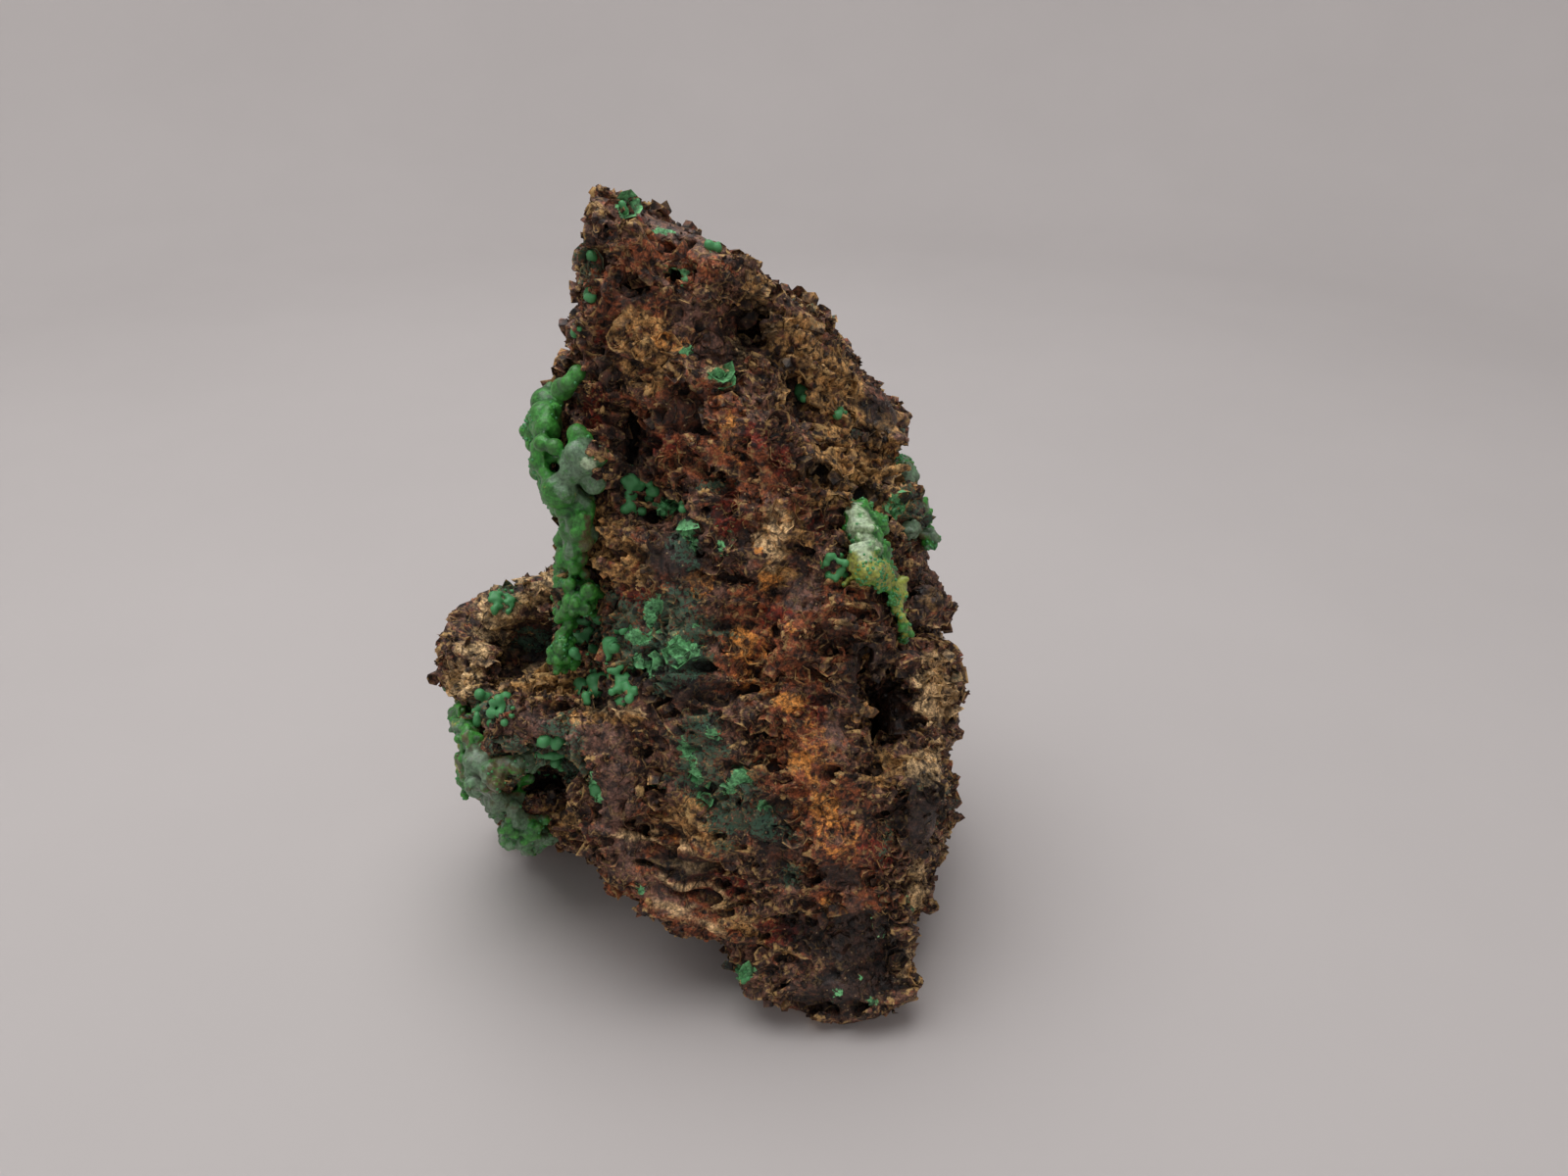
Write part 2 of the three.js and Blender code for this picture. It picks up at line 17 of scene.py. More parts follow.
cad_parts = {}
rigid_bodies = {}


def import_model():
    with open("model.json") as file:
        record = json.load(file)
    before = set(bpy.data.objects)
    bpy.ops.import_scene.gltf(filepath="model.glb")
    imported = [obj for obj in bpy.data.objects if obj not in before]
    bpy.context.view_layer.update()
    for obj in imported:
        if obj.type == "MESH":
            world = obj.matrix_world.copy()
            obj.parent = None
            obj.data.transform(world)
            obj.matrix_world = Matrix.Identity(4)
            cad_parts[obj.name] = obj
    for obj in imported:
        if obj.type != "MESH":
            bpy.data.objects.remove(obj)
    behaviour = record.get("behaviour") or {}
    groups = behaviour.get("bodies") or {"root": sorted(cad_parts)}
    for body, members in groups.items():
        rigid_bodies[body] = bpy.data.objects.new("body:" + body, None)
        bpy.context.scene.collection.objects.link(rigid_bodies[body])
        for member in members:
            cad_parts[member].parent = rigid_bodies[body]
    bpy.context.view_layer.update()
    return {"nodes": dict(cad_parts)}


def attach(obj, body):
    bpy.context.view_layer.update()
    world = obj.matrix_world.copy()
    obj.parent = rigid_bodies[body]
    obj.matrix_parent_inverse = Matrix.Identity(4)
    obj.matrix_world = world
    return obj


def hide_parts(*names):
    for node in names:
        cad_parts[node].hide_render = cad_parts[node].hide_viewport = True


bl_info = {
    "name": "Conichalcite specimen",
    "version": (1, 0, 0),
    "blender": (4, 5, 0),
    "location": "3D View > Sidebar > Specimen",
    "description": "Builds a gossan rock with green conichalcite crusts, and its stage",
    "category": "Object",
}

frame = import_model()

MM = 0.001
BODY = "root"
ROCK_NODE = "gossan_matrix"

# The eye that the photo was taken with, in millimetres, and its picture, in pixels.
EYE = np.array([6.962, -81.432, 80.0])
EYE_DOWN = math.radians(31)
LENS = 27.0
SENSOR = 36.0
PICTURE = (1600, 1200)
FOCAL = PICTURE[0] * LENS / SENSOR
AHEAD = np.array([0, math.cos(EYE_DOWN), -math.sin(EYE_DOWN)])
UP = np.array([0, math.sin(EYE_DOWN), math.cos(EYE_DOWN)])
RIGHT = np.array([1.0, 0, 0])
MIDDLE_AHEAD = 97  # how far ahead of the eye the stone's middle lies

# Ovals on the side that the photo shows. Each is the middle, in pixels across and down,
# half the width and half the height, in pixels, and a turn in degrees, clockwise.
SPOTS = {
    # dense, smooth rock, purplish to grey brown
    "dense": [
        (690, 234, 42, 14, 24), (707, 318, 18, 24, 20), (728, 348, 12, 26, -25), (520, 744, 20, 10, 10),
        (560, 742, 40, 10, -4), (610, 754, 36, 18, 12), (626, 800, 20, 46, 8), (636, 862, 18, 36, -6),
        (676, 912, 40, 15, 32), (812, 604, 22, 24, -10), (793, 552, 26, 36, 0), (687, 567, 25, 22, 0),
        (872, 955, 20, 30, 10), (880, 1004, 34, 16, -18), (862, 894, 20, 13, 10), (942, 831, 18, 24, 0),
        (905, 425, 24, 24, 0), (946, 612, 12, 16, 0), (905, 728, 16, 26, 0), (847, 740, 12, 24, 0),
        (948, 790, 14, 24, -20), (886, 668, 14, 18, 20),
    ],
    # rock that is darker than the rest: partly darker rock, partly painted shade, as on the foot in the
    # shade
    "dusk": [
        (880, 965, 50, 44, 10), (862, 1010, 60, 26, -16), (942, 830, 24, 34, 0), (862, 894, 24, 16, 10),
        (912, 725, 22, 40, 0), (885, 680, 26, 44, 0), (687, 570, 30, 28, 0), (900, 425, 28, 28, 0),
        (690, 690, 40, 36, 0), (650, 470, 22, 40, 0), (860, 650, 26, 24, 0), (946, 612, 18, 24, 0),
        (880, 512, 20, 20, 0), (836, 484, 26, 18, 0), (770, 330, 26, 30, 0), (560, 660, 30, 20, -30),
        (700, 420, 24, 20, 0), (620, 380, 14, 26, 0), (640, 300, 24, 16, 0), (700, 890, 36, 14, 20),
        (820, 950, 30, 16, 0), (560, 790, 30, 24, 0), (612, 715, 16, 24, 0), (790, 860, 24, 26, 0),
        (576, 430, 22, 54, 0),
    ],
    # fine granular rock, nearly flat
    "granular": [
        (700, 640, 62, 62, 0), (730, 780, 56, 60, 20), (790, 610, 50, 60, 0), (812, 712, 30, 26, 0),
        (835, 800, 44, 100, -14), (820, 990, 80, 36, 18), (780, 850, 50, 36, 0), (705, 250, 36, 18, 22),
        (704, 860, 40, 20, 20), (750, 440, 26, 40, 10),
    ],
    # coarse boxwork with deep cells
    "boxwork": [
        (790, 320, 44, 30, 40), (835, 380, 44, 48, 45), (850, 470, 50, 54, 0), (905, 500, 44, 70, 0),
        (760, 285, 22, 16, 30), (610, 300, 14, 60, 0), (560, 660, 50, 30, -30), (590, 830, 40, 30, 0),
        (690, 822, 34, 14, 0), (880, 600, 30, 24, 0),
    ],
    # dark openings that go deep
    "vug": [
        (770, 334, 16, 22, 0), (811, 404, 12, 20, -20), (646, 443, 6, 30, 0), (688, 281, 7, 6, 30),
        (644, 297, 9, 6, 0), (836, 484, 18, 13, 0), (881, 512, 13, 15, 0), (898, 771, 15, 13, 0),
        (880, 690, 6, 26, 8), (611, 712, 8, 22, 0), (672, 528, 12, 7, 0), (566, 800, 12, 8, 0),
        (540, 770, 7, 10, 0), (603, 596, 6, 22, 0),
    ],
    # small, shallow openings
    "pit": [
        (669, 806, 9, 6, 0), (618, 231, 4, 5, 0), (633, 392, 5, 9, 0), (736, 853, 7, 4, 10),
        (757, 818, 6, 5, 0), (742, 900, 10, 4, 10), (792, 645, 4, 7, 0), (640, 842, 14, 3, -30),
        (876, 628, 16, 6, 20), (770, 700, 6, 5, 0), (720, 520, 6, 5, 0), (800, 978, 8, 4, 0),
        (697, 398, 5, 6, 0), (716, 438, 6, 5, 0), (686, 472, 6, 5, 0),
    ],
    # rock that lies back behind the lobes of the left crust
    "set_back": [(574, 432, 26, 50, 0), (585, 392, 12, 20, 0), (562, 480, 14, 16, 0)],
    "tawny": [
        (793, 552, 26, 36, 0), (786, 578, 14, 14, 0),
        (775, 300, 26, 20, 35), (812, 340, 36, 34, 40), (850, 400, 46, 48, 45), (850, 470, 46, 50, 0),
        (905, 480, 36, 56, 0), (797, 412, 9, 16, 0), (870, 585, 26, 16, 20), (952, 610, 10, 14, 0),
        (690, 824, 34, 12, 0), (720, 850, 40, 12, 20), (610, 732, 50, 7, 0), (590, 830, 34, 20, 0),
        (610, 560, 20, 50, 0), (560, 690, 36, 30, 0), (655, 356, 30, 36, 0), (645, 575, 26, 30, 0),
        (905, 780, 26, 20, 0), (765, 940, 44, 14, 30), (925, 990, 12, 20, 0),
    ],
    "ochre": [
        (758, 655, 19, 14, 10), (715, 597, 13, 13, 0), (806, 716, 16, 11, 0), (819, 774, 11, 14, 0),
        (842, 822, 12, 22, -30), (784, 592, 9, 8, 0), (775, 556, 8, 12, 0), (744, 432, 9, 14, 0),
    ],
    # rock with thin, broken ochre over it
    "orange": [
        (835, 816, 28, 26, 30), (852, 852, 24, 22, 20), (826, 760, 26, 54, -12), (770, 700, 34, 12, 20),
        (745, 440, 16, 30, 0), (846, 930, 12, 16, 0), (760, 672, 30, 16, 0), (700, 860, 34, 10, 24),
        (800, 640, 26, 10, 0), (690, 350, 24, 14, 20),
    ],
    "rusty": [
        (822, 790, 44, 105, -14), (780, 650, 60, 50, 0), (790, 500, 50, 34, 30), (700, 440, 60, 60, 0),
        (650, 300, 40, 56, 0), (850, 640, 50, 50, 0), (700, 940, 70, 50, 30), (860, 900, 50, 50, 0),
        (690, 270, 50, 24, 20), (650, 590, 30, 30, 0), (700, 862, 50, 24, 20),
    ],
    "red": [
        (605, 415, 12, 34, 0), (892, 872, 18, 18, 0), (826, 728, 12, 17, 0), (790, 630, 18, 13, 0),
        (834, 538, 9, 12, 0), (866, 538, 9, 11, 0), (650, 610, 16, 12, 0), (795, 950, 24, 14, 0),
        (676, 452, 26, 9, 8), (646, 225, 9, 9, 0), (745, 527, 18, 16, 0), (740, 900, 30, 14, 20),
        (772, 444, 16, 12, 0), (797, 470, 12, 14, 0), (620, 345, 12, 10, 0),
    ],
    "cream": [
        (955, 708, 22, 54, 0), (946, 786, 18, 26, 0), (934, 905, 10, 42, 0), (733, 380, 14, 12, 40),
        (922, 985, 9, 20, 20), (508, 630, 30, 18, -40), (470, 690, 18, 20, 0), (560, 598, 18, 14, 0),
        (750, 348, 5, 20, -30), (629, 480, 5, 5, 0), (630, 725, 30, 4, 8), (912, 590, 14, 20, 0),
        (792, 552, 19, 32, 0),
    ],
    "mint": [
        (668, 630, 9, 17, 0), (694, 660, 14, 11, 20), (651, 649, 12, 8, 30), (712, 632, 3, 10, 20),
        (664, 684, 4, 9, 0), (703, 545, 6, 14, -30), (683, 516, 11, 7, 0), (736, 560, 4, 6, 0),
        (711, 795, 8, 13, 0), (716, 812, 6, 12, -20), (704, 770, 6, 20, -20), (727, 748, 9, 6, 20),
        (757, 790, 8, 8, 0), (778, 822, 7, 7, 0), (652, 905, 3, 16, -25), (607, 808, 4, 22, -20),
        (675, 236, 6, 5, 0), (638, 215, 5, 8, 0), (692, 276, 10, 3, 10), (700, 290, 3, 6, 0),
        (856, 1014, 8, 6, 0), (879, 1001, 3, 4, 0), (758, 992, 9, 8, 40), (892, 1022, 6, 3, 20),
        (727, 250, 7, 7, 30), (668, 801, 11, 2, 10), (652, 676, 5, 12, 0), (733, 385, 10, 8, 30),
        (912, 520, 8, 12, 0), (606, 262, 5, 8, 0), (700, 355, 10, 3, 0), (744, 804, 5, 5, 0),
    ],
    "teal": [
        (775, 838, 30, 22, 10), (690, 650, 44, 44, 0), (715, 775, 30, 46, 0), (760, 800, 26, 22, 0),
        (806, 894, 14, 12, 0), (904, 858, 5, 20, 10), (700, 555, 16, 22, 0),
        (614, 655, 24, 24, 0), (590, 620, 20, 26, 0), (540, 780, 40, 30, 0), (575, 770, 30, 30, 0),
        (733, 494, 20, 7, 0), (604, 270, 8, 22, 0), (640, 640, 20, 40, 0),
        (930, 524, 14, 26, 0), (515, 612, 16, 15, 0), (500, 722, 30, 14, 0), (545, 650, 30, 14, -20),
        (893, 538, 12, 14, 0), (746, 830, 30, 30, 0),
    ],
    # slanting plates
    "layered": [
        (500, 640, 50, 54, -30), (540, 600, 34, 22, 0), (690, 870, 50, 26, 25), (720, 920, 50, 26, 20),
        (555, 690, 44, 26, 0), (545, 655, 34, 26, 0),
    ],
    # smooth, shelly skin of a crust
    "shell": [(594, 497, 32, 42, 20), (882, 528, 16, 26, 0), (532, 838, 14, 14, 0)],
    # where a crust has broken away
    "bare": [
        (612, 590, 14, 44, 6), (610, 545, 10, 10, 30), (600, 655, 24, 44, 0), (574, 562, 6, 9, 0),
        (566, 604, 7, 18, 0), (552, 560, 8, 30, 0), (902, 556, 7, 20, 20), (876, 606, 20, 14, 0),
        (896, 645, 18, 34, 0), (850, 545, 12, 16, 0), (560, 745, 16, 8, 0), (552, 806, 24, 26, 20),
        (510, 735, 10, 10, 0), (575, 740, 24, 16, 0), (520, 800, 10, 12, 0), (920, 500, 16, 12, 0),
        (935, 560, 14, 16, 0), (590, 598, 7, 10, 0), (590, 575, 5, 9, 0), (601, 546, 5, 10, 0),
        (577, 584, 4, 8, 0), (580, 612, 5, 7, 0),
    ],
    "grey": [
        (592, 494, 28, 40, 20), (500, 722, 34, 12, 10), (530, 836, 14, 16, 0), (486, 774, 14, 30, 0),
        (555, 775, 30, 20, 0), (930, 524, 24, 44, 0), (612, 540, 10, 14, 0), (580, 560, 6, 10, 0),
    ],
    "pale": [(878, 540, 17, 30, -16), (872, 522, 14, 12, 0), (600, 470, 12, 8, 0)],
    "olive": [
        (922, 606, 10, 36, 0), (851, 577, 22, 14, 0), (636, 706, 14, 20, 0), (470, 765, 7, 30, 0),
        (602, 300, 6, 30, 0), (545, 740, 14, 8, 0), (884, 572, 14, 10, 0),
    ],
    # brown dust and shade over a crust
    "dust": [
        (930, 524, 26, 46, 0), (520, 760, 40, 50, 0), (600, 560, 8, 40, 0), (500, 800, 20, 30, 0),
    ],
}
SPOT_EDGE = 0.45  # share of a spot's size over which it runs out
SPOT_RAGGED = 0.5  # how far its edge wanders, as a share of its size
SPOT_RAGGED_SIZE = 1.1
SPOT_REACH = 1.8  # how far a spot may show, as a share of its size
SPOT_DEPTH = 5.0  # a spot colours only what lies this close behind or before its middle
SPOT_FADE = 0.6  # share of that depth from which it fades
OPENING_DEPTH = 3.4  # an opening reaches this far behind its mouth
FACING = (-0.15, 0.1)  # how squarely a surface faces the eye where the photo starts to show it

# Axes that the random patterns are turned to, so that they don't line up with the stone.
TURN = np.array([[0.0, 0.36, 0.64], [0.8, -0.8, -0.48], [0.6, -0.48, 0.6]], np.float32)
TABLE = 64  # random numbers along each edge of a lattice
# Across the slanting plates of the left lobe and the lower face.
PLATES = np.array([0.45, -0.2, 0.87])

# Balls of the crusts: half their size at least and at most, how many, how closely they sit,
# how deep they sink, and the lowest and highest place where they grow.
CRUST_BALLS = {
    "left_edge_crust": [
        (0.95, 1.35, 26, 1.25, 0.5, 39, 60), (0.45, 0.7, 30, 1.3, 0.45, 39, 60),
        (0.2, 0.34, 16, 1.6, 0.3, 39, 60),
        (0.6, 1.0, 24, 1.2, 0.5, 33, 39), (0.3, 0.5, 30, 1.4, 0.4, 33, 39),
        (0.4, 0.6, 120, 1.3, 0.15, 0, 34), (0.22, 0.36, 90, 1.4, 0.1, 0, 34),
    ],
    "lower_left_crust": [
        (0.6, 1.0, 70, 1.3, 0.3, 0, 60), (0.35, 0.55, 300, 1.2, 0.1, 0, 60),
        (0.2, 0.3, 260, 1.3, 0.0, 0, 60),
    ],
    "right_cap_crust": [
        (0.8, 1.2, 12, 1.2, 0.75, 36, 60), (0.25, 0.42, 80, 1.3, 0.25, 0, 60),
        (0.16, 0.24, 100, 1.4, 0.1, 0, 60),
    ],
    "rear_right_crust": [
        (0.6, 1.0, 30, 1.3, 0.5, 0, 60), (0.3, 0.5, 110, 1.3, 0.3, 0, 60), (0.18, 0.28, 80, 1.4, 0.1, 0, 60),
    ],
}
# Single lobes of the left crust: pixels across and down, half their size in pixels, and how deep
# they sink into the rock, as a share of that.
LOBES = [
    (589, 381, 9, 0.4), (574, 397, 12, 0.2), (580, 392, 9, 0.4), (563, 417, 10, 0.2), (557, 434, 11, 0.2),
    (570, 428, 9, 0.5), (589, 443, 11, 0.5), (597, 450, 9, 0.6), (566, 456, 9, 0.4), (553, 452, 9, 0.3),
    (551, 468, 7, 0.2), (556, 482, 6, 0.2), (561, 494, 7, 0.3), (586, 462, 11, 0.5), (583, 478, 16, 0.7),
    (600, 470, 15, 0.7), (613, 464, 9, 0.6), (592, 498, 19, 0.8), (606, 492, 13, 0.8), (582, 514, 13, 0.7),
    (597, 520, 10, 0.6), (572, 502, 10, 0.6), (579, 540, 7, 0.2), (590, 546, 8, 0.2), (599, 553, 7, 0.2),
    (583, 562, 7, 0.3), (594, 570, 7, 0.2), (586, 580, 7, 0.3), (597, 586, 6, 0.3), (582, 596, 6, 0.2),
    (580, 612, 6, 0.2), (577, 626, 6, 0.3),
]
# Share of each crust that has broken away by chance, besides the spots in the photo.
CRUST_BARE = {
    "left_edge_crust": 0.14, "lower_left_crust": 0.44, "right_cap_crust": 0.25, "rear_right_crust": 0.42,
}
# Up to which height the rock fills the bed of each crust. The left one stands free above it.
CRUST_BEDS = {
    "left_edge_crust": 37, "lower_left_crust": 60, "right_cap_crust": 60, "rear_right_crust": 60,
}
BED_END = 2  # height over which such a bed runs out
# An opening that shows the light behind the left crust: pixels across and down, and its half width.
PEEPHOLE = (566, 477, 0.36)

# Where loose green knobs sit on the rock: middle, in the photo's pixels, spread in pixels,
# how many, and half their size at least and at most.
KNOB_GROUPS = [
    (644, 488, 10, 6, 0.3, 0.5), (657, 500, 11, 8, 0.3, 0.5), (645, 516, 11, 7, 0.25, 0.45),
    (688, 516, 13, 12, 0.15, 0.38), (619, 658, 10, 8, 0.35, 0.55), (578, 671, 12, 12, 0.3, 0.55),
    (602, 696, 12, 9, 0.35, 0.7), (596, 712, 10, 7, 0.25, 0.45), (636, 706, 13, 14, 0.25, 0.5),
    (632, 686, 10, 7, 0.2, 0.36), (612, 676, 16, 14, 0.2, 0.42),
    (634, 640, 8, 5, 0.25, 0.42), (588, 336, 5, 6, 0.2, 0.42), (602, 300, 6, 18, 0.16, 0.36),
    (604, 262, 5, 12, 0.16, 0.34), (638, 212, 5, 8, 0.16, 0.3), (819, 402, 6, 12, 0.2, 0.45),
    (512, 612, 15, 26, 0.15, 0.36), (607, 806, 5, 12, 0.16, 0.3), (758, 993, 8, 10, 0.18, 0.36),
    (711, 796, 6, 6, 0.15, 0.3), (728, 252, 5, 7, 0.2, 0.4), (560, 772, 22, 26, 0.25, 0.5),
    (590, 645, 14, 18, 0.25, 0.55), (500, 722, 24, 24, 0.25, 0.5), (606, 625, 10, 14, 0.25, 0.5),
    (583, 600, 7, 10, 0.3, 0.55), (858, 423, 5, 5, 0.25, 0.4), (851, 578, 14, 26, 0.18, 0.35),
]

# Shares of the sides that the photo doesn't show that each stain covers.
HIDDEN_SHARES = {
    "dense": 0.4, "tawny": 0.5, "ochre": 0.08, "rusty": 0.4, "red": 0.15, "cream": 0.25,
    "mint": 0.14, "teal": 0.25, "layered": 0.15, "dusk": 0.35, "orange": 0.25,
}
# Shares of a green piece that each dull look covers by chance, besides the spots in the photo.
CRUST_LOOKS = {
    "left_edge_crust": {"grey": 0.08, "pale": 0.03, "olive": 0.12, "dust": 0.15},
    "lower_left_crust": {"grey": 0.6, "pale": 0.06, "olive": 0.25, "dust": 0.5},
    "right_cap_crust": {"grey": 0.1, "pale": 0.2, "olive": 0.6, "dust": 0.3},
    "rear_right_crust": {"grey": 0.6, "pale": 0.03, "olive": 0.15, "dust": 0.65},
}
KNOB_LOOKS = {"grey": 0.25, "pale": 0.03, "olive": 0.35, "dust": 0.3}

# Random patterns: about how large one swell or grain is, and a seed.
SMOOTH_BACK = (6.5, 110)
BOXWORK_BACK = (9.0, 111)
WALLS = (1.5, 112)
COARSE_WALLS = (2.6, 113)
CRUMBS = (0.85, 114)
PITS = (2.3, 115)
PLATE_WANDER = (4.5, 116)
CRAGS = (2.7, 117)
SMALL_HOLLOWS = (1.6, 118)
HIGH_GROUND = (4.0, 220)
CRUST_SWELLS = (1.5, 401)
BROKEN_PATCHES = (1.8, 402)
SPHERULE_PATCHES = (2.0, 520)
STAIN_PATCH_SIZE = 6.0
LOOK_PATCH_SIZE = 2.6
# Seeds. Where a list needs several, each entry's is one more than the last.
RELIEF_SPOT_SEED = 101
STAIN_PATCH_SEED = 200
STAIN_SPOT_SEED = 300
GRANULAR_SPOT_SEED = 302
BARE_SPOT_SEED = 403
LOOK_PATCH_SEED = 500
LOOK_SPOT_SEED = 510
SHELL_SPOT_SEED = 521
KNOB_SEED = 31
SPHERULE_SEED = 63

# The rock's relief.
OUT_OF_SIGHT = (0, 8)  # how far back the rock gets out of the photo's sight
SMOOTH_BACK_MOST = 0.8
GROUND = (0.1, 1.6)  # heights over which the roughness sets in
DENSE_CALM = 0.7  # shares by which dense, granular and layered rock is less rough
GRANULAR_CALM = 0.4
LAYERED_CALM = 0.6
WALL_WIDTH = 0.3  # of a boxwork wall, as a share of a cell
COARSE_WALL_WIDTH = 0.26
COARSE_WALL_RISE = 1.5  # how much higher the coarse walls are
WALL_FOOT = 0.35  # shares of a wall, a crumb and a plate that lie below the plain skin
CRUMB_FOOT = 0.6
PLATE_FOOT = 0.4
FINE_CRUMB = 0.1  # height of the crumbs that smooth rock has too
PIT_MOUTH = (0.42, 0.16)  # a pit's rim and its floor, as shares of its cell
PIT_SHARE = 0.5  # share of the cells that have a pit
ROCK_WORKED = 0.93  # share of the band in which the rock's samples are changed
UNDER_CRUST = (0.9, 0.1)  # distances from a crust between which the rock counts as covered

# The crusts and knobs.
CRUST_WORKED = 0.95  # share of the band in which a crust's samples are changed
CRUST_SHRINK = 0.12  # how far a crust's plain skin lies back, and how high its swells are
CRUST_SWELL = 0.22
CRUST_MARGIN = 24  # samples left round a crust for its balls
BALL_CLEAR = 0.3  # a ball's middle lies at least this far off the rock
BALL_TRIES = 12  # places tried for each ball
KNOB_CELL = 0.2
KNOB_BAND = 1.2
KNOB_PROUD = 0.2  # how far a knob's middle stands off the rock, as a share of its radius
KNOB_SMALLER = 1.5  # the higher, the more of the knobs are small
GUIDE_CELL = 0.25  # spacing of the samples of a surface that other pieces are set against
GUIDE_BAND = 2.0
CLEAR_BAND = 1.0
CLEAR_OF_CRUST = (0.1, 0.4)  # distances from a crust over which the grains set in

# Hollows and rims: how far off the skin the solid round it is felt, and how full it is there.
RELIEF_LIFT = 0.1
HOLLOW_FILL = (0.48, 0.72)
RIM_FILL = (0.42, 0.18)

# The scattered shapes, before they are sized.
GRAIN_VARIANTS = 8
SPHERULE_VARIANTS = 3
WALL_RADIUS = 0.4
WALL_SUNK = 0.3
WALL_HALF_THICKNESS = 0.08
TIP_HEIGHTS = (-0.2, 0.3)  # from where a shape counts as its foot to where it counts as its tip
# Painted shade on a scattered shape's foot, where it sits on the surface: how dark it is at most.
FOOT_SHADE = 0.95

# Painted shade: the tint that the hollows are darkened towards.
HOLLOW_SHADE_TINT = (0.1, 0.07, 0.06, 1)
# Painted shade: the near black that the pinholes are painted with.
PINHOLE_SHADE = (0.004, 0.003, 0.002, 1)

# Lights, in metres: where each stands, where it points, and how wide it is.
OVERHEAD = ((-0.05, 0.03, 0.38), (0, 0, 0.02), 0.4)
FRONT = ((0.12, -0.34, 0.2), (0, 0, 0.03), 0.25)
SKY_COLOUR = (0.95, 0.95, 1.0, 1)


def pixels(points):
    """Where points fall in the photo: pixels across, pixels down, and millimetres away."""
    offset = points - EYE.astype(np.float32)
    away = offset @ AHEAD.astype(np.float32)
    across = PICTURE[0] / 2 + FOCAL * (offset @ RIGHT.astype(np.float32)) / away
    down = PICTURE[1] / 2 - FOCAL * (offset @ UP.astype(np.float32)) / away
    return across, down, away


def ray(across, down):
    """The way from the eye through a pixel, one millimetre ahead."""
    return AHEAD + (across - PICTURE[0] / 2) / FOCAL * RIGHT - (down - PICTURE[1] / 2) / FOCAL * UP


def lattice(seed, parts):
    """Random numbers from 0 to 1 on a cube's lattice, the same for the same seed."""
    return np.random.default_rng(seed).random((TABLE**3, parts), dtype=np.float32)


def lattice_cells(points, size):
    """Turned lattice cells of points: the cell's lower corner, and how far across the cell each lies."""
    place = points.astype(np.float32) @ TURN / np.float32(size)
    cell = np.floor(place)
    return cell.astype(np.int32), place - cell


def lattice_rows(cell):
    """The rows of a lattice's table that belong to cells."""
    i, j, k = (cell & (TABLE - 1)).T
    return (i * TABLE + j) * TABLE + k


def waves(points, size, seed):
    """Smooth random swells from -1 to 1, about one for each size."""
    table = lattice(seed, 1)[:, 0]
    cell, part = lattice_cells(points, size)
    part = part * part * (3 - 2 * part)
    total = np.zeros(len(points), np.float32)
    for corner in itertools.product((0, 1), repeat=3):
        weight = np.ones(len(points), np.float32)
        for axis in range(3):
            weight *= part[:, axis] if corner[axis] else 1 - part[:, axis]
        total += weight * table[lattice_rows(cell + np.int32(corner))]
    return np.clip((total - 0.5) * 2.6, -1, 1)


def grains(points, size, seed):
    """Distances to the nearest and second nearest grain centre, in sizes, and a chance for each grain."""
    table = lattice(seed, 4)
    cell, part = lattice_cells(points, size)
    lower = part < 0.5
    cell -= lower
    part += lower
    first = np.full(len(points), 9, np.float32)
    second = first.copy()
    chance = np.zeros(len(points), np.float32)
    for step in itertools.product((0, 1), repeat=3):
        random = table[lattice_rows(cell + np.int32(step))]
        away = np.zeros(len(points), np.float32)
        for axis in range(3):
            away += (0.2 + 0.6 * random[:, axis] + step[axis] - part[:, axis]) ** 2
        away = np.sqrt(away)
        closer = away < first
        second = np.where(closer, first, np.minimum(second, away))
        chance = np.where(closer, random[:, 3], chance)
        first = np.minimum(first, away)
    return first, second, chance


def ramp(value, low, high):
    """Runs smoothly from 0 at low to 1 at high."""
    t = np.clip((value - low) / (high - low), 0, 1)
    return t * t * (3 - 2 * t)


def blur(values, reach):
    """The mean over a box that reaches this many samples each way."""
    width = 2 * reach + 1
    for axis in range(3):
        pad = [(reach + 1, reach) if a == axis else (0, 0) for a in range(3)]
        total = np.moveaxis(np.cumsum(np.pad(values, pad, mode="edge"), axis=axis), axis, 0)
        values = np.moveaxis((total[width:] - total[:-width]) / np.float32(width), 0, axis)
    return np.ascontiguousarray(values)


def between(values, place):
    """Values of a grid at places between its samples."""
    base = np.clip(np.floor(place).astype(np.int32), 0, np.array(values.shape) - 2)
    part = np.clip(place - base, 0, 1).astype(np.float32)
    total = np.zeros(len(place), np.float32)
    for corner in itertools.product((0, 1), repeat=3):
        weight = np.prod(np.where(corner, part, 1 - part), axis=1)
        i, j, k = (base + corner).T
        total += weight * values[i, j, k]
    return total


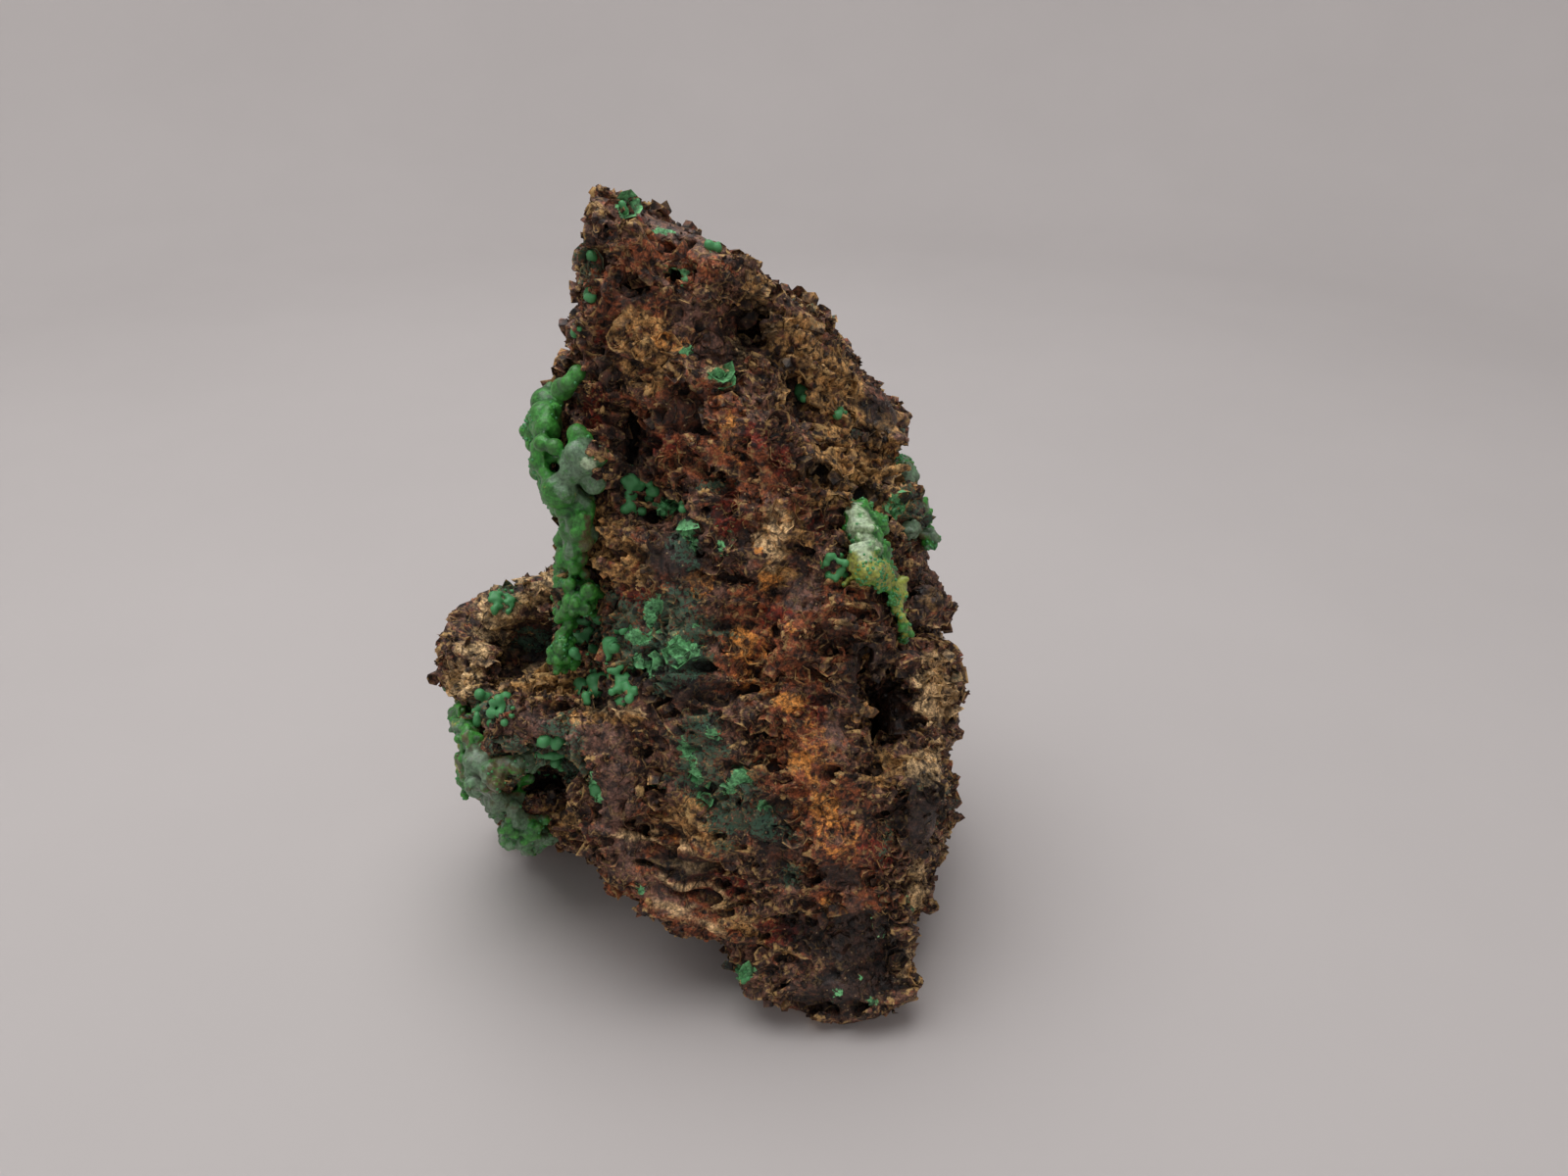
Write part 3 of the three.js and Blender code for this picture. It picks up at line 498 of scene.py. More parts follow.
class Field:
    """Distances to a surface on a regular grid, in millimetres, negative inside."""

    def __init__(self, points, triangles, cell, band, margin=4):
        spacing = openvdb.createLinearTransform(voxelSize=cell)
        grid = openvdb.FloatGrid.createLevelSetFromPolygons(
            points, triangles=triangles, transform=spacing, halfWidth=band / cell
        )
        self.low = np.floor(points.min(0) / cell).astype(int) - margin
        high = np.ceil(points.max(0) / cell).astype(int) + margin
        self.values = np.empty(tuple(high - self.low + 1), np.float32)
        grid.copyToArray(self.values, ijk=tuple(int(v) for v in self.low))
        self.cell = cell
        self.band = band

    def places(self, chosen):
        """Where the chosen samples are."""
        return ((np.argwhere(chosen) + self.low) * self.cell).astype(np.float32)

    def at(self, points):
        return between(self.values, points / self.cell - self.low)

    def slope(self, points):
        """The way out at each point."""
        ways = np.empty((len(points), 3), np.float32)
        for axis in range(3):
            step = np.zeros(3, np.float32)
            step[axis] = self.cell
            ways[:, axis] = self.at(points + step) - self.at(points - step)
        return ways / np.maximum(np.linalg.norm(ways, axis=1), 1e-6)[:, None]

    def join_ball(self, centre, radius, blend):
        """Adds a ball that runs softly into what is there."""
        middle = centre / self.cell - self.low
        reach = (radius + blend) / self.cell + 1
        start = np.maximum(np.floor(middle - reach), 0).astype(int)
        stop = np.minimum(np.ceil(middle + reach) + 1, self.values.shape).astype(int)
        if (stop <= start).any():
            return
        block = tuple(slice(a, b) for a, b in zip(start, stop))
        axes = np.ogrid[block]
        away = np.sqrt(sum((axis - m) ** 2 for axis, m in zip(axes, middle))) * self.cell - radius
        old = self.values[block]
        soft = np.maximum(blend - np.abs(old - away), 0) ** 2 / (4 * blend)
        self.values[block] = np.minimum(old, away) - soft

    def holds(self, points):
        """Which points lie on this field's grid."""
        place = points / self.cell - self.low
        return ((place >= 0) & (place < np.array(self.values.shape) - 1)).all(1)

    def join(self, other, raised, blend):
        """Adds another field's solid, its distances raised, and fills the gap between the two."""
        start = np.maximum(self.low, other.low)
        stop = np.minimum(self.low + self.values.shape, other.low + other.values.shape)
        mine = tuple(slice(a, b) for a, b in zip(start - self.low, stop - self.low))
        theirs = tuple(slice(a, b) for a, b in zip(start - other.low, stop - other.low))
        old, new = self.values[mine], (other.values + raised)[theirs]
        soft = np.maximum(blend - np.abs(old - new), 0) ** 2 / (4 * blend)
        self.values[mine] = np.minimum(old, new) - soft

    def heights(self):
        """The height of each level of samples."""
        return (np.arange(self.values.shape[2]) + self.low[2]) * np.float32(self.cell)

    def keep_above_ground(self):
        self.values = np.maximum(self.values, -self.heights())

    def faces(self):
        """Points and four-sided faces of the surface."""
        grid = openvdb.FloatGrid(self.band)
        grid.transform = openvdb.createLinearTransform(voxelSize=self.cell)
        grid.gridClass = openvdb.GridClass.LEVEL_SET
        grid.copyFromArray(self.values, ijk=tuple(int(v) for v in self.low))
        points, faces = grid.convertToQuads(isovalue=0)
        return points, faces[:, ::-1].astype(np.int64)


def largest_body(points, faces):
    """Leaves out loose specks and sealed hollows."""
    label = np.arange(len(points))
    while True:
        lowest = label.copy()
        np.minimum.at(lowest, faces.ravel(), np.repeat(label[faces].min(1), 4))
        lowest = lowest[lowest]
        if (lowest == label).all():
            break
        label = lowest
    names, counts = np.unique(label, return_counts=True)
    kept = label == names[counts.argmax()]
    number = np.cumsum(kept) - 1
    return points[kept], number[faces[kept[faces[:, 0]]]]


def solid(name):
    """Points, in millimetres, and triangles of a CAD node, with its loose triangles joined up."""
    work = bmesh.new()
    work.from_mesh(frame["nodes"][name].data)
    bmesh.ops.remove_doubles(work, verts=work.verts, dist=0.001 * MM)
    points = np.array([v.co for v in work.verts], np.float32) / np.float32(MM)
    triangles = np.array([[v.index for v in f.verts] for f in work.faces], np.uint32)
    work.free()
    return points, triangles


def whole_stone():
    """Points, in millimetres, and triangles of all the CAD nodes together."""
    points, triangles = solid(ROCK_NODE)
    for node in CRUST_BALLS:
        more_points, more_triangles = solid(node)
        triangles = np.concatenate((triangles, more_triangles + np.uint32(len(points))))
        points = np.concatenate((points, more_points))
    return points, triangles


def surface(mesh):
    """Points, in millimetres, and triangles of a mesh."""
    mesh.calc_loop_triangles()
    corners = np.empty(len(mesh.loop_triangles) * 3, np.int32)
    mesh.loop_triangles.foreach_get("vertices", corners)
    return vertices(mesh)[0], corners.reshape(-1, 3).astype(np.uint32)


def search_tree(points, triangles):
    return BVHTree.FromPolygons(points.tolist(), triangles.tolist())


def seen_at(tree, across, down):
    """The first point of a surface behind a pixel, or None past its outline."""
    hit = tree.ray_cast(Vector(EYE), Vector(ray(across, down)))[0]
    return None if hit is None else np.array(hit, np.float32)


def depth_at(tree, across, down):
    """How far ahead of the eye a surface lies behind a pixel, or nearest to it past the outline."""
    hit = seen_at(tree, across, down)
    if hit is None:
        hit = np.array(tree.find_nearest(Vector(EYE + ray(across, down) * MIDDLE_AHEAD))[0])
    return (hit - EYE) @ AHEAD


def spotted(points, kind, tree, seed, behind=SPOT_DEPTH):
    """How strongly each point lies in the spots of a kind, from 0 to 1."""
    across, down, away = pixels(points)
    strength = np.zeros(len(points), np.float32)
    for x, y, wide, high, turn in SPOTS[kind]:
        reach = SPOT_REACH * max(wide, high)
        further = away - depth_at(tree, x, y)
        near = np.flatnonzero(
            (np.abs(across - x) < reach) & (np.abs(down - y) < reach) & (np.abs(further) < SPOT_DEPTH)
        )
        cos, sin = math.cos(math.radians(turn)), math.sin(math.radians(turn))
        u = ((across[near] - x) * cos + (down[near] - y) * sin) / wide
        v = ((down[near] - y) * cos - (across[near] - x) * sin) / high
        ragged = SPOT_RAGGED * waves(points[near], SPOT_RAGGED_SIZE, seed)
        inside = ramp(1 + ragged - np.hypot(u, v), -SPOT_EDGE / 2, SPOT_EDGE / 2)
        inside *= ramp(-further[near], SPOT_DEPTH, SPOT_DEPTH * SPOT_FADE)
        inside *= ramp(further[near], behind, behind * SPOT_FADE)
        strength[near] = np.maximum(strength[near], inside)
    return strength


def by_chance(points, size, seed, share, full=1.4):
    """Patches that cover about a share of the points, from 0 to 1: the higher full is, the softer."""
    return ramp(waves(points, size, seed), 1 - 2 * share, full - 2 * share)


def facing_eye(points, normals):
    """From 0 on what the photo can't show to 1 on what it shows."""
    sight = EYE - points
    sight /= np.linalg.norm(sight, axis=1)[:, None]
    return ramp((sight * normals).sum(1), *FACING)


def build_mesh(name, points, faces):
    mesh = bpy.data.meshes.new(name)
    mesh.from_pydata((points * MM).tolist(), [], faces.tolist())
    mesh.polygons.foreach_set("use_smooth", np.ones(len(faces), bool))
    mesh.update()
    return mesh


def settle(name, mesh, modify):
    """Puts a mesh in the scene, applies the modifier that modify adds, and returns the plain object."""
    piece = bpy.data.objects.new(name, mesh)
    bpy.context.scene.collection.objects.link(piece)
    modify(piece)
    plain = bpy.data.meshes.new_from_object(piece.evaluated_get(bpy.context.evaluated_depsgraph_get()))
    piece.modifiers.clear()
    piece.data = plain
    piece.data.name = name
    return piece


def thinned(triangles):
    """A modifier that leaves about this many triangles."""
    def modify(piece):
        count = sum(len(face.vertices) - 2 for face in piece.data.polygons)
        thin = piece.modifiers.new("thin", "DECIMATE")
        thin.ratio = min(1.0, triangles / count)
        thin.use_collapse_triangulate = True
    return modify


def vertices(mesh):
    """Places, in millimetres, and normals of a mesh's vertices."""
    places = np.empty(len(mesh.vertices) * 3, np.float32)
    mesh.vertices.foreach_get("co", places)
    normals = np.empty(len(mesh.vertices) * 3, np.float32)
    mesh.vertices.foreach_get("normal", normals)
    return places.reshape(-1, 3) / np.float32(MM), normals.reshape(-1, 3)


def paint(mesh, name, values):
    """Keeps a number for each vertex, which the materials read."""
    layer = mesh.attributes.new(name, "FLOAT", "POINT")
    layer.data.foreach_set("value", values.astype(np.float32))


def paint_relief(mesh, field, settings):
    """Marks the hollows and the rims of a surface from how much solid lies round each vertex."""
    points, normals = vertices(mesh)
    full = (field.values < 0).astype(np.float32)
    place = (points + normals * np.float32(RELIEF_LIFT)) / field.cell - field.low
    wide = between(blur(full, round(settings.hollow_reach / field.cell)), place)
    close = between(blur(full, round(settings.rim_reach / field.cell)), place)
    hollow = ramp(wide, *HOLLOW_FILL)
    rim = ramp(close, *RIM_FILL)
    paint(mesh, "hollow", hollow)
    paint(mesh, "rim", rim)
    return hollow, rim


def display(code):
    """Linear red, green, blue and alpha of a display colour such as 0x4A3026."""
    shares = [(code >> shift & 255) / 255 for shift in (16, 8, 0)]
    linear = [s / 12.92 if s <= 0.04045 else ((s + 0.055) / 1.055) ** 2.4 for s in shares]
    return (*linear, 1.0)


def colour(name, description, code):
    return FloatVectorProperty(
        name=name, description=description, subtype="COLOR", size=4, min=0, max=1, default=display(code)
    )


def length(name, description, default):
    return FloatProperty(name=name, description=description, default=default, min=0)


def sizes(name, description, least, most):
    return FloatVectorProperty(name=name, description=description, size=2, default=(least, most))


class SpecimenRockSettings(bpy.types.PropertyGroup):
    """Sizes, in millimetres, and colours of the rock"""

    cell: length("Cell", "Spacing of the samples that the rock is skinned from", 0.25)
    band: length("Band", "How deep the openings may reach", 3.2)
    reach: length("Reach", "How high the roughness may stand out", 1.2)
    triangles: IntProperty(name="Triangles", description="Triangles of the rock's skin", default=196000)
    crag: length("Crag", "Height of the broad crags", 0.65)
    wall: length("Wall", "Height of the boxwork's walls", 0.8)
    vug: length("Vug", "Depth of the small hollows", 1.1)
    crumb: length("Crumb", "Height of the crumbs", 0.55)
    pit: length("Pit", "Depth of the scattered pits", 1.9)
    opening: length("Opening", "Depth of the dark openings", 3.6)
    set_back: length("Set back", "How far the rock lies back behind the left lobes", 2.2)
    plate: length("Plate", "Height of the slanting plates", 1.3)
    layer: length("Layer", "Thickness of the slanting plates", 1.5)
    cover: length("Cover", "Thickness of the green crusts over the rock", 0.7)
    bed: length("Bed", "How softly the rock runs up under the crusts", 1.2)
    sunk: length("Sunk", "How far the rock lies back under the crusts", 0.25)
    hollow_reach: length("Hollow reach", "Width over which a hollow is felt", 1.0)
    rim_reach: length("Rim reach", "Width over which a rim is felt", 0.4)
    dark: colour("Dark brown", "Rock in the shade of the boxwork", 0x2C1A14)
    brown: colour("Brown", "Most of the rock", 0x6A493A)
    umber: colour("Umber", "Reddish brown rock", 0x7E452C)
    tan: colour("Tan", "Light brown rock", 0x9A7450)
    dense: colour("Dense", "Smooth purplish to grey brown rock", 0x65473B)
    rusty: colour("Rusty", "Rust on the boxwork", 0x8A4826)
    ochre: colour("Ochre", "Earthy orange patches", 0xC4803A)
    red: colour("Red", "Red iron oxide", 0x6C200F)
    tawny: colour("Tawny", "Yellow brown boxwork", 0xB48850)
    # Cream is also the colour of the painted glints.
    cream: colour("Cream", "Pale granular patches", 0xD2B080)
    rim: colour("Rim", "Pale edges of the boxwork", 0xCCA468)
    mint: colour("Mint", "Bright green stains", 0x78C482)
    teal: colour("Teal", "Dull green stains", 0x466E56)


class SpecimenCrustSettings(bpy.types.PropertyGroup):
    """Sizes, in millimetres, and colours of the green crusts and knobs"""

    cell: length("Cell", "Spacing of the samples that a crust is skinned from", 0.14)
    band: length("Band", "How far from its surface a crust is worked", 1.5)
    triangles: IntProperty(name="Triangles", description="Triangles of each crust's skin", default=52000)
    blend: length("Blend", "How softly the balls run together", 0.08)
    lobe_blend: length("Lobe blend", "How softly the single lobes run together", 0.5)
    broken: length("Broken", "How deep a crust has broken away", 2.2)
    hollow_reach: length("Hollow reach", "Width over which a hollow is felt", 0.7)
    rim_reach: length("Rim reach", "Width over which a rim is felt", 0.28)
    bright: colour("Bright green", "Fresh conichalcite", 0x368C30)
    deep: colour("Deep green", "Conichalcite in the shade", 0x164C1A)
    light: colour("Light green", "Tops of the fresh balls", 0x62AC4A)
    grey: colour("Grey green", "Dull, dusty skin", 0x6A846A)
    pale: colour("Pale", "Pale blue-green skin", 0xB2C4A0)
    olive: colour("Olive", "Yellow-green frills", 0x9CA044)
    dust: colour("Dust", "Brown dust on the dull crust", 0x66543C)


class SpecimenScatterSettings(bpy.types.PropertyGroup):
    """Sizes, in millimetres, and numbers of the small grains"""

    cup: sizes("Cup", "Least and greatest width of a boxwork cup", 0.5, 1.45)
    cups: IntProperty(name="Cups", description="About how many boxwork cups there are", default=3800)
    frill: sizes("Frill", "Least and greatest height of a frill", 0.2, 0.55)
    frills: IntProperty(name="Frills", description="About how many frills there are", default=3600)
    crumb: sizes("Crumb", "Least and greatest size of a crumb", 0.16, 0.7)
    crumbs: IntProperty(name="Crumbs", description="About how many crumbs there are", default=9200)
    spherule: sizes("Spherule", "Least and greatest radius of a spherule", 0.08, 0.16)
    spherules: IntProperty(name="Spherules", description="About how many spherules a crust has", default=350)
    seed: IntProperty(name="Seed", description="Another seed gives another scatter", default=7)


class SpecimenStageSettings(bpy.types.PropertyGroup):
    """The floor, the lights and the eye"""

    floor: FloatProperty(name="Floor", description="Radius of the floor", default=0.42, unit="LENGTH")
    rise: FloatProperty(name="Rise", description="Height of the raised edge", default=0.3, unit="LENGTH")
    key: FloatProperty(name="Key", description="Power of the overhead light", default=1.3, unit="POWER")
    fill: FloatProperty(name="Fill", description="Power of the front light", default=0.14, unit="POWER")
    sky: FloatProperty(name="Sky", description="Strength of the light from all round", default=0.2)
    paper: colour("Paper", "Colour of the floor", 0xC2BCBA)


class Wiring:
    """Adds nodes to a tree and joins their sockets."""

    def __init__(self, tree):
        self.tree = tree
        tree.nodes.clear()

    def add(self, kind, inputs=None, **settings):
        node = self.tree.nodes.new(kind)
        for name, value in settings.items():
            setattr(node, name, value)
        for socket, value in (inputs or {}).items():
            self.feed(node.inputs[socket], value)
        return node

    def feed(self, socket, value):
        if isinstance(value, bpy.types.NodeSocket):
            self.tree.links.new(value, socket)
        else:
            socket.default_value = value

    def math(self, operation, a, b=0.0, clamp=False):
        node = self.add("ShaderNodeMath", {0: a, 1: b}, operation=operation, use_clamp=clamp)
        return node.outputs[0]

    def span(self, value, low, high, bottom=0.0, top=1.0):
        """Runs smoothly from bottom, where the value is low, to top, where it is high."""
        inputs = {"Value": value, "From Min": low, "From Max": high, "To Min": bottom, "To Max": top}
        return self.add("ShaderNodeMapRange", inputs, interpolation_type="SMOOTHSTEP").outputs[0]

    def mix(self, share, a, b, blend="MIX"):
        inputs = {0: share, 6: a, 7: b}
        return self.add("ShaderNodeMix", inputs, data_type="RGBA", blend_type=blend).outputs[2]

    def scaled(self, tone, value):
        """A colour times a number."""
        grey = self.add("ShaderNodeCombineColor", {0: value, 1: value, 2: value}).outputs[0]
        return self.mix(1.0, tone, grey, "MULTIPLY")

    def layer(self, name):
        """A number that was painted on the piece."""
        return self.add("ShaderNodeAttribute", attribute_name=name).outputs["Fac"]

    def noise(self, place, size, detail=3.0, roughness=0.6):
        """Random values from 0 to 1, with swells of a size in millimetres."""
        inputs = {"Vector": place, "Scale": 1 / (size * MM), "Detail": detail, "Roughness": roughness}
        return self.add("ShaderNodeTexNoise", inputs).outputs["Fac"]

    def place(self):
        return self.add("ShaderNodeTexCoord").outputs["Object"]


def shader_group(name, inputs, outputs):
    """An empty shader node group with named sockets, as its wires, inner inputs and inner outputs."""
    tree = bpy.data.node_groups.new(name, "ShaderNodeTree")
    for socket, (kind, default) in inputs.items():
        made = tree.interface.new_socket(name=socket, in_out="INPUT", socket_type=kind)
        made.default_value = default
    for socket, kind in outputs.items():
        tree.interface.new_socket(name=socket, in_out="OUTPUT", socket_type=kind)
    wires = Wiring(tree)
    return wires, wires.add("NodeGroupInput").outputs, wires.add("NodeGroupOutput").inputs


def broken_mask_group():
    """Breaks a soft mask up into ragged patches: a weak mask gives few, a strong one runs together."""
    inputs = {
        "Mask": ("NodeSocketFloat", 0.0),
        "Scale": ("NodeSocketFloat", 1000.0),
        "Edge": ("NodeSocketFloat", 0.1),
    }
    wires, given, result = shader_group("Broken mask", inputs, {"Mask": "NodeSocketFloat"})
    inputs = {"Vector": wires.place(), "Scale": given["Scale"], "Detail": 5.0, "Roughness": 0.65}
    texture = wires.add("ShaderNodeTexNoise", inputs)
    spread = wires.span(texture.outputs["Fac"], 0.28, 0.72)
    level = wires.math("SUBTRACT", wires.math("MULTIPLY", given["Mask"], 1.1), spread)
    wires.feed(result["Mask"], wires.span(level, 0.0, given["Edge"]))
    return wires.tree


def speckle_group():
    """Small scattered dots of a share of the cells."""
    inputs = {"Scale": ("NodeSocketFloat", 1000.0), "Share": ("NodeSocketFloat", 0.2)}
    wires, given, result = shader_group("Speckle", inputs, {"Mask": "NodeSocketFloat"})
    cell = wires.add("ShaderNodeTexVoronoi", {"Vector": wires.place(), "Scale": given["Scale"]}).outputs
    chance = wires.add("ShaderNodeSeparateColor", {0: cell["Color"]}).outputs[0]
    chosen = wires.math("LESS_THAN", chance, given["Share"])
    wires.feed(result["Mask"], wires.math("MULTIPLY", wires.span(cell["Distance"], 0.36, 0.2), chosen))
    return wires.tree


def curled_edges_group():
    """Thin wandering lines, like the broken edges of small curled plates."""
    inputs = {"Scale": ("NodeSocketFloat", 1000.0), "Width": ("NodeSocketFloat", 0.08)}
    wires, given, result = shader_group("Curled edges", inputs, {"Mask": "NodeSocketFloat"})
    place = wires.place()
    swirl = wires.add("ShaderNodeTexNoise", {"Vector": place, "Scale": given["Scale"], "Detail": 2.0})
    shift = wires.add("ShaderNodeVectorMath", {0: swirl.outputs["Color"], 3: 0.7 * MM}, operation="SCALE")
    moved = wires.add("ShaderNodeVectorMath", {0: place, 1: shift.outputs[0]}, operation="ADD")
    inputs = {"Vector": moved.outputs[0], "Scale": given["Scale"]}
    cell = wires.add("ShaderNodeTexVoronoi", inputs, feature="DISTANCE_TO_EDGE")
    gaps = wires.add("ShaderNodeTexNoise", {**inputs, "Detail": 3.0})
    line = wires.span(cell.outputs["Distance"], given["Width"], 0.0)
    shown = wires.span(gaps.outputs["Fac"], 0.46, 0.6)
    wires.feed(result["Mask"], wires.math("MULTIPLY", line, shown))
    return wires.tree


def hollow_shade_group():
    """Darkens a colour in the hollows with painted shade."""
    inputs = {
        "Color": ("NodeSocketColor", (1, 1, 1, 1)),
        "Hollow": ("NodeSocketFloat", 0.0),
        "Depth": ("NodeSocketFloat", 0.8),
    }
    wires, given, result = shader_group("Hollow shade", inputs, {"Color": "NodeSocketColor"})
    dark = wires.mix(1.0, given["Color"], HOLLOW_SHADE_TINT, "MULTIPLY")
    share = wires.math("MULTIPLY", given["Hollow"], given["Depth"], clamp=True)
    wires.feed(result["Color"], wires.mix(share, given["Color"], dark))
    return wires.tree


def stone_grain_group():
    """Height of a fine crumbly grain, about one where it is highest."""
    inputs = {"Scale": ("NodeSocketFloat", 4000.0), "Crumbs": ("NodeSocketFloat", 0.5)}
    wires, given, result = shader_group("Stone grain", inputs, {"Height": "NodeSocketFloat"})
    place = wires.place()
    texture = wires.add("ShaderNodeTexNoise", {"Vector": place, "Scale": given["Scale"], "Detail": 5.0})
    coarse = wires.math("MULTIPLY", given["Scale"], 0.55)
    cell = wires.add("ShaderNodeTexVoronoi", {"Vector": place, "Scale": coarse}).outputs["Distance"]
    crumbs = wires.math("MULTIPLY", wires.math("SUBTRACT", 1.0, cell), given["Crumbs"])
    wires.feed(result["Height"], wires.math("ADD", texture.outputs["Fac"], crumbs))
    return wires.tree


def use_group(wires, name, build, inputs):
    """Places a node group, and builds it the first time."""
    tree = bpy.data.node_groups.get(name) or build()
    return wires.add("ShaderNodeGroup", inputs, node_tree=tree).outputs[0]


def broken(wires, mask, size, edge):
    inputs = {"Mask": mask, "Scale": 1 / (size * MM), "Edge": edge}
    return use_group(wires, "Broken mask", broken_mask_group, inputs)


def speckles(wires, size, share):
    return use_group(wires, "Speckle", speckle_group, {"Scale": 1 / (size * MM), "Share": share})


def curled_edges(wires, size, width):
    inputs = {"Scale": 1 / (size * MM), "Width": width}
    return use_group(wires, "Curled edges", curled_edges_group, inputs)


def stone_grain(wires, size, crumbs):
    return use_group(wires, "Stone grain", stone_grain_group, {"Scale": 1 / (size * MM), "Crumbs": crumbs})


def hollow_shade(wires, tone, depth):
    inputs = {"Color": tone, "Hollow": wires.layer("hollow"), "Depth": depth}
    return use_group(wires, "Hollow shade", hollow_shade_group, inputs)


def new_material(name):
    material = bpy.data.materials.new(name)
    material.use_nodes = True
    wires = Wiring(material.node_tree)
    shader = wires.add("ShaderNodeBsdfPrincipled")
    output = wires.add("ShaderNodeOutputMaterial")
    wires.feed(output.inputs["Surface"], shader.outputs[0])
    return material, wires, shader.inputs


def stained(wires, place, settings):
    """The rock's mottled browns under its rust, ochre, red and cream stains."""
    tone = wires.mix(wires.span(wires.noise(place, 1.3, 4), 0.36, 0.6), settings.dark, settings.brown)
    tone = wires.mix(broken(wires, 0.36, 0.6, 0.3), tone, settings.umber)
    tone = wires.mix(broken(wires, 0.24, 0.45, 0.3), tone, settings.tan)
    for layer, stain, size, edge, share, most in (
        ("rusty", settings.rusty, 0.6, 0.3, 0.85, 0.75),
        ("dense", settings.dense, 0.5, 0.15, 0.88, 0.8),
        ("tawny", settings.tawny, 0.8, 0.3, 0.8, 0.85),
        ("red", settings.red, 0.5, 0.3, 0.95, 0.9),
        ("orange", settings.ochre, 0.7, 0.3, 0.5, 0.7),
        ("ochre", settings.ochre, 0.9, 0.4, 1.0, 0.95),
        ("cream", settings.cream, 0.4, 0.2, 0.95, 0.9),
    ):
        mask = broken(wires, wires.math("MULTIPLY", wires.layer(layer), share), size, edge)
        tone = wires.mix(wires.math("MULTIPLY", mask, most), tone, stain)
    return tone


def banded(wires, tone, place, settings):
    """Lightens and darkens a colour in the bands of the slanting plates."""
    across = wires.add("ShaderNodeVectorMath", {0: place, 1: Vector(PLATES) / MM}, operation="DOT_PRODUCT")
    wander = wires.math("MULTIPLY", wires.noise(place, 3.0, 4), 2.2)
    level = wires.math("ADD", wires.math("DIVIDE", across.outputs["Value"], settings.layer / 2), wander)
    band = wires.math("PINGPONG", level, 1.0)
    layered = wires.layer("layered")
    light = wires.math("MULTIPLY", wires.span(band, 0.5, 0.9), wires.math("MULTIPLY", layered, 0.75))
    tone = wires.mix(light, tone, settings.cream)
    shade = wires.math("MULTIPLY", wires.span(band, 0.4, 0.05), wires.math("MULTIPLY", layered, 0.6))
    return wires.mix(shade, tone, settings.dark)


def green_stained(wires, tone, place, settings):
    """Dull green and mint stains over a colour."""
    mask = broken(wires, wires.math("MULTIPLY", wires.layer("teal"), 0.6), 0.26, 0.1)
    tone = wires.mix(wires.math("MULTIPLY", mask, 0.75), tone, settings.teal)
    stain = wires.scaled(settings.mint, wires.span(wires.noise(place, 0.35, 4, 0.65), 0.34, 0.66, 0.4, 1.3))
    return wires.mix(broken(wires, wires.layer("mint"), 0.5, 0.15), tone, stain)


def gossan_material(name, settings, edge_share, grain):
    """Rusty rock: mottled browns, stained in patches, pale on its rims, with painted shade in its hollows
    and pinholes, and painted glints.
    """
    material, wires, shader = new_material(name)
    place = wires.place()
    dense = wires.layer("dense")
    rough = wires.span(dense, 0.0, 1.0, 1.0, 0.5)
    tone = banded(wires, stained(wires, place, settings), place, settings)
    coarse = wires.span(wires.noise(place, 0.62, 4, 0.65), 0.34, 0.66, 0.17, 1.85)
    fine = wires.span(wires.noise(place, 0.2, 4, 0.65), 0.32, 0.68, 0.45, 1.65)
    tone = wires.scaled(tone, wires.math("MULTIPLY", coarse, fine))
    cracks = curled_edges(wires, 1.5, 0.07)
    tone = wires.mix(wires.math("MULTIPLY", cracks, 0.8), tone, settings.dark)
    lines = wires.math("MULTIPLY", curled_edges(wires, 0.75, 0.13), rough)
    tone = wires.mix(wires.math("MULTIPLY", lines, 0.5), tone, settings.rim)
    edges = wires.math("MULTIPLY", wires.layer("rim"), edge_share)
    tips = wires.math("MAXIMUM", edges, wires.span(wires.layer("tip"), 0.5, 1.0, 0.0, 0.6))
    tone = wires.mix(broken(wires, wires.math("MULTIPLY", tips, rough), 0.9, 0.5), tone, settings.rim)
    # Darker rock and painted shade: the colour is taken down to three tenths in these spots.
    tone = wires.scaled(tone, wires.span(wires.layer("dusk"), 0.0, 1.0, 1.0, 0.3))
    tone = green_stained(wires, tone, place, settings)
    # Painted shade: pinholes, dented only by the bump, are painted near black.
    holes = wires.math("MULTIPLY", speckles(wires, 0.7, 0.3), rough)
    tone = wires.mix(wires.math("MULTIPLY", holes, 0.85), tone, PINHOLE_SHADE)
    # Painted highlights: small glints are lightened towards cream, and their roughness is lower.
    glints = speckles(wires, 0.28, 0.05)
    tone = wires.mix(wires.math("MULTIPLY", glints, 0.5), tone, settings.cream)
    wires.feed(shader["Base Color"], hollow_shade(wires, tone, 0.95))
    dull = wires.span(dense, 0.0, 1.0, 0.7, 0.52)
    wires.feed(shader["Roughness"], wires.math("SUBTRACT", dull, wires.math("MULTIPLY", glints, 0.35)))
    height = wires.math("ADD", stone_grain(wires, 0.3, 0.6), wires.math("MULTIPLY", lines, 0.6))
    height = wires.math("SUBTRACT", height, holes)
    height = wires.math("SUBTRACT", height, cracks)
    bump = wires.add("ShaderNodeBump", {"Height": height, "Distance": grain * MM, "Strength": 1.0})
    wires.feed(shader["Normal"], bump.outputs[0])
    shader["Specular IOR Level"].default_value = 0.5
    return material


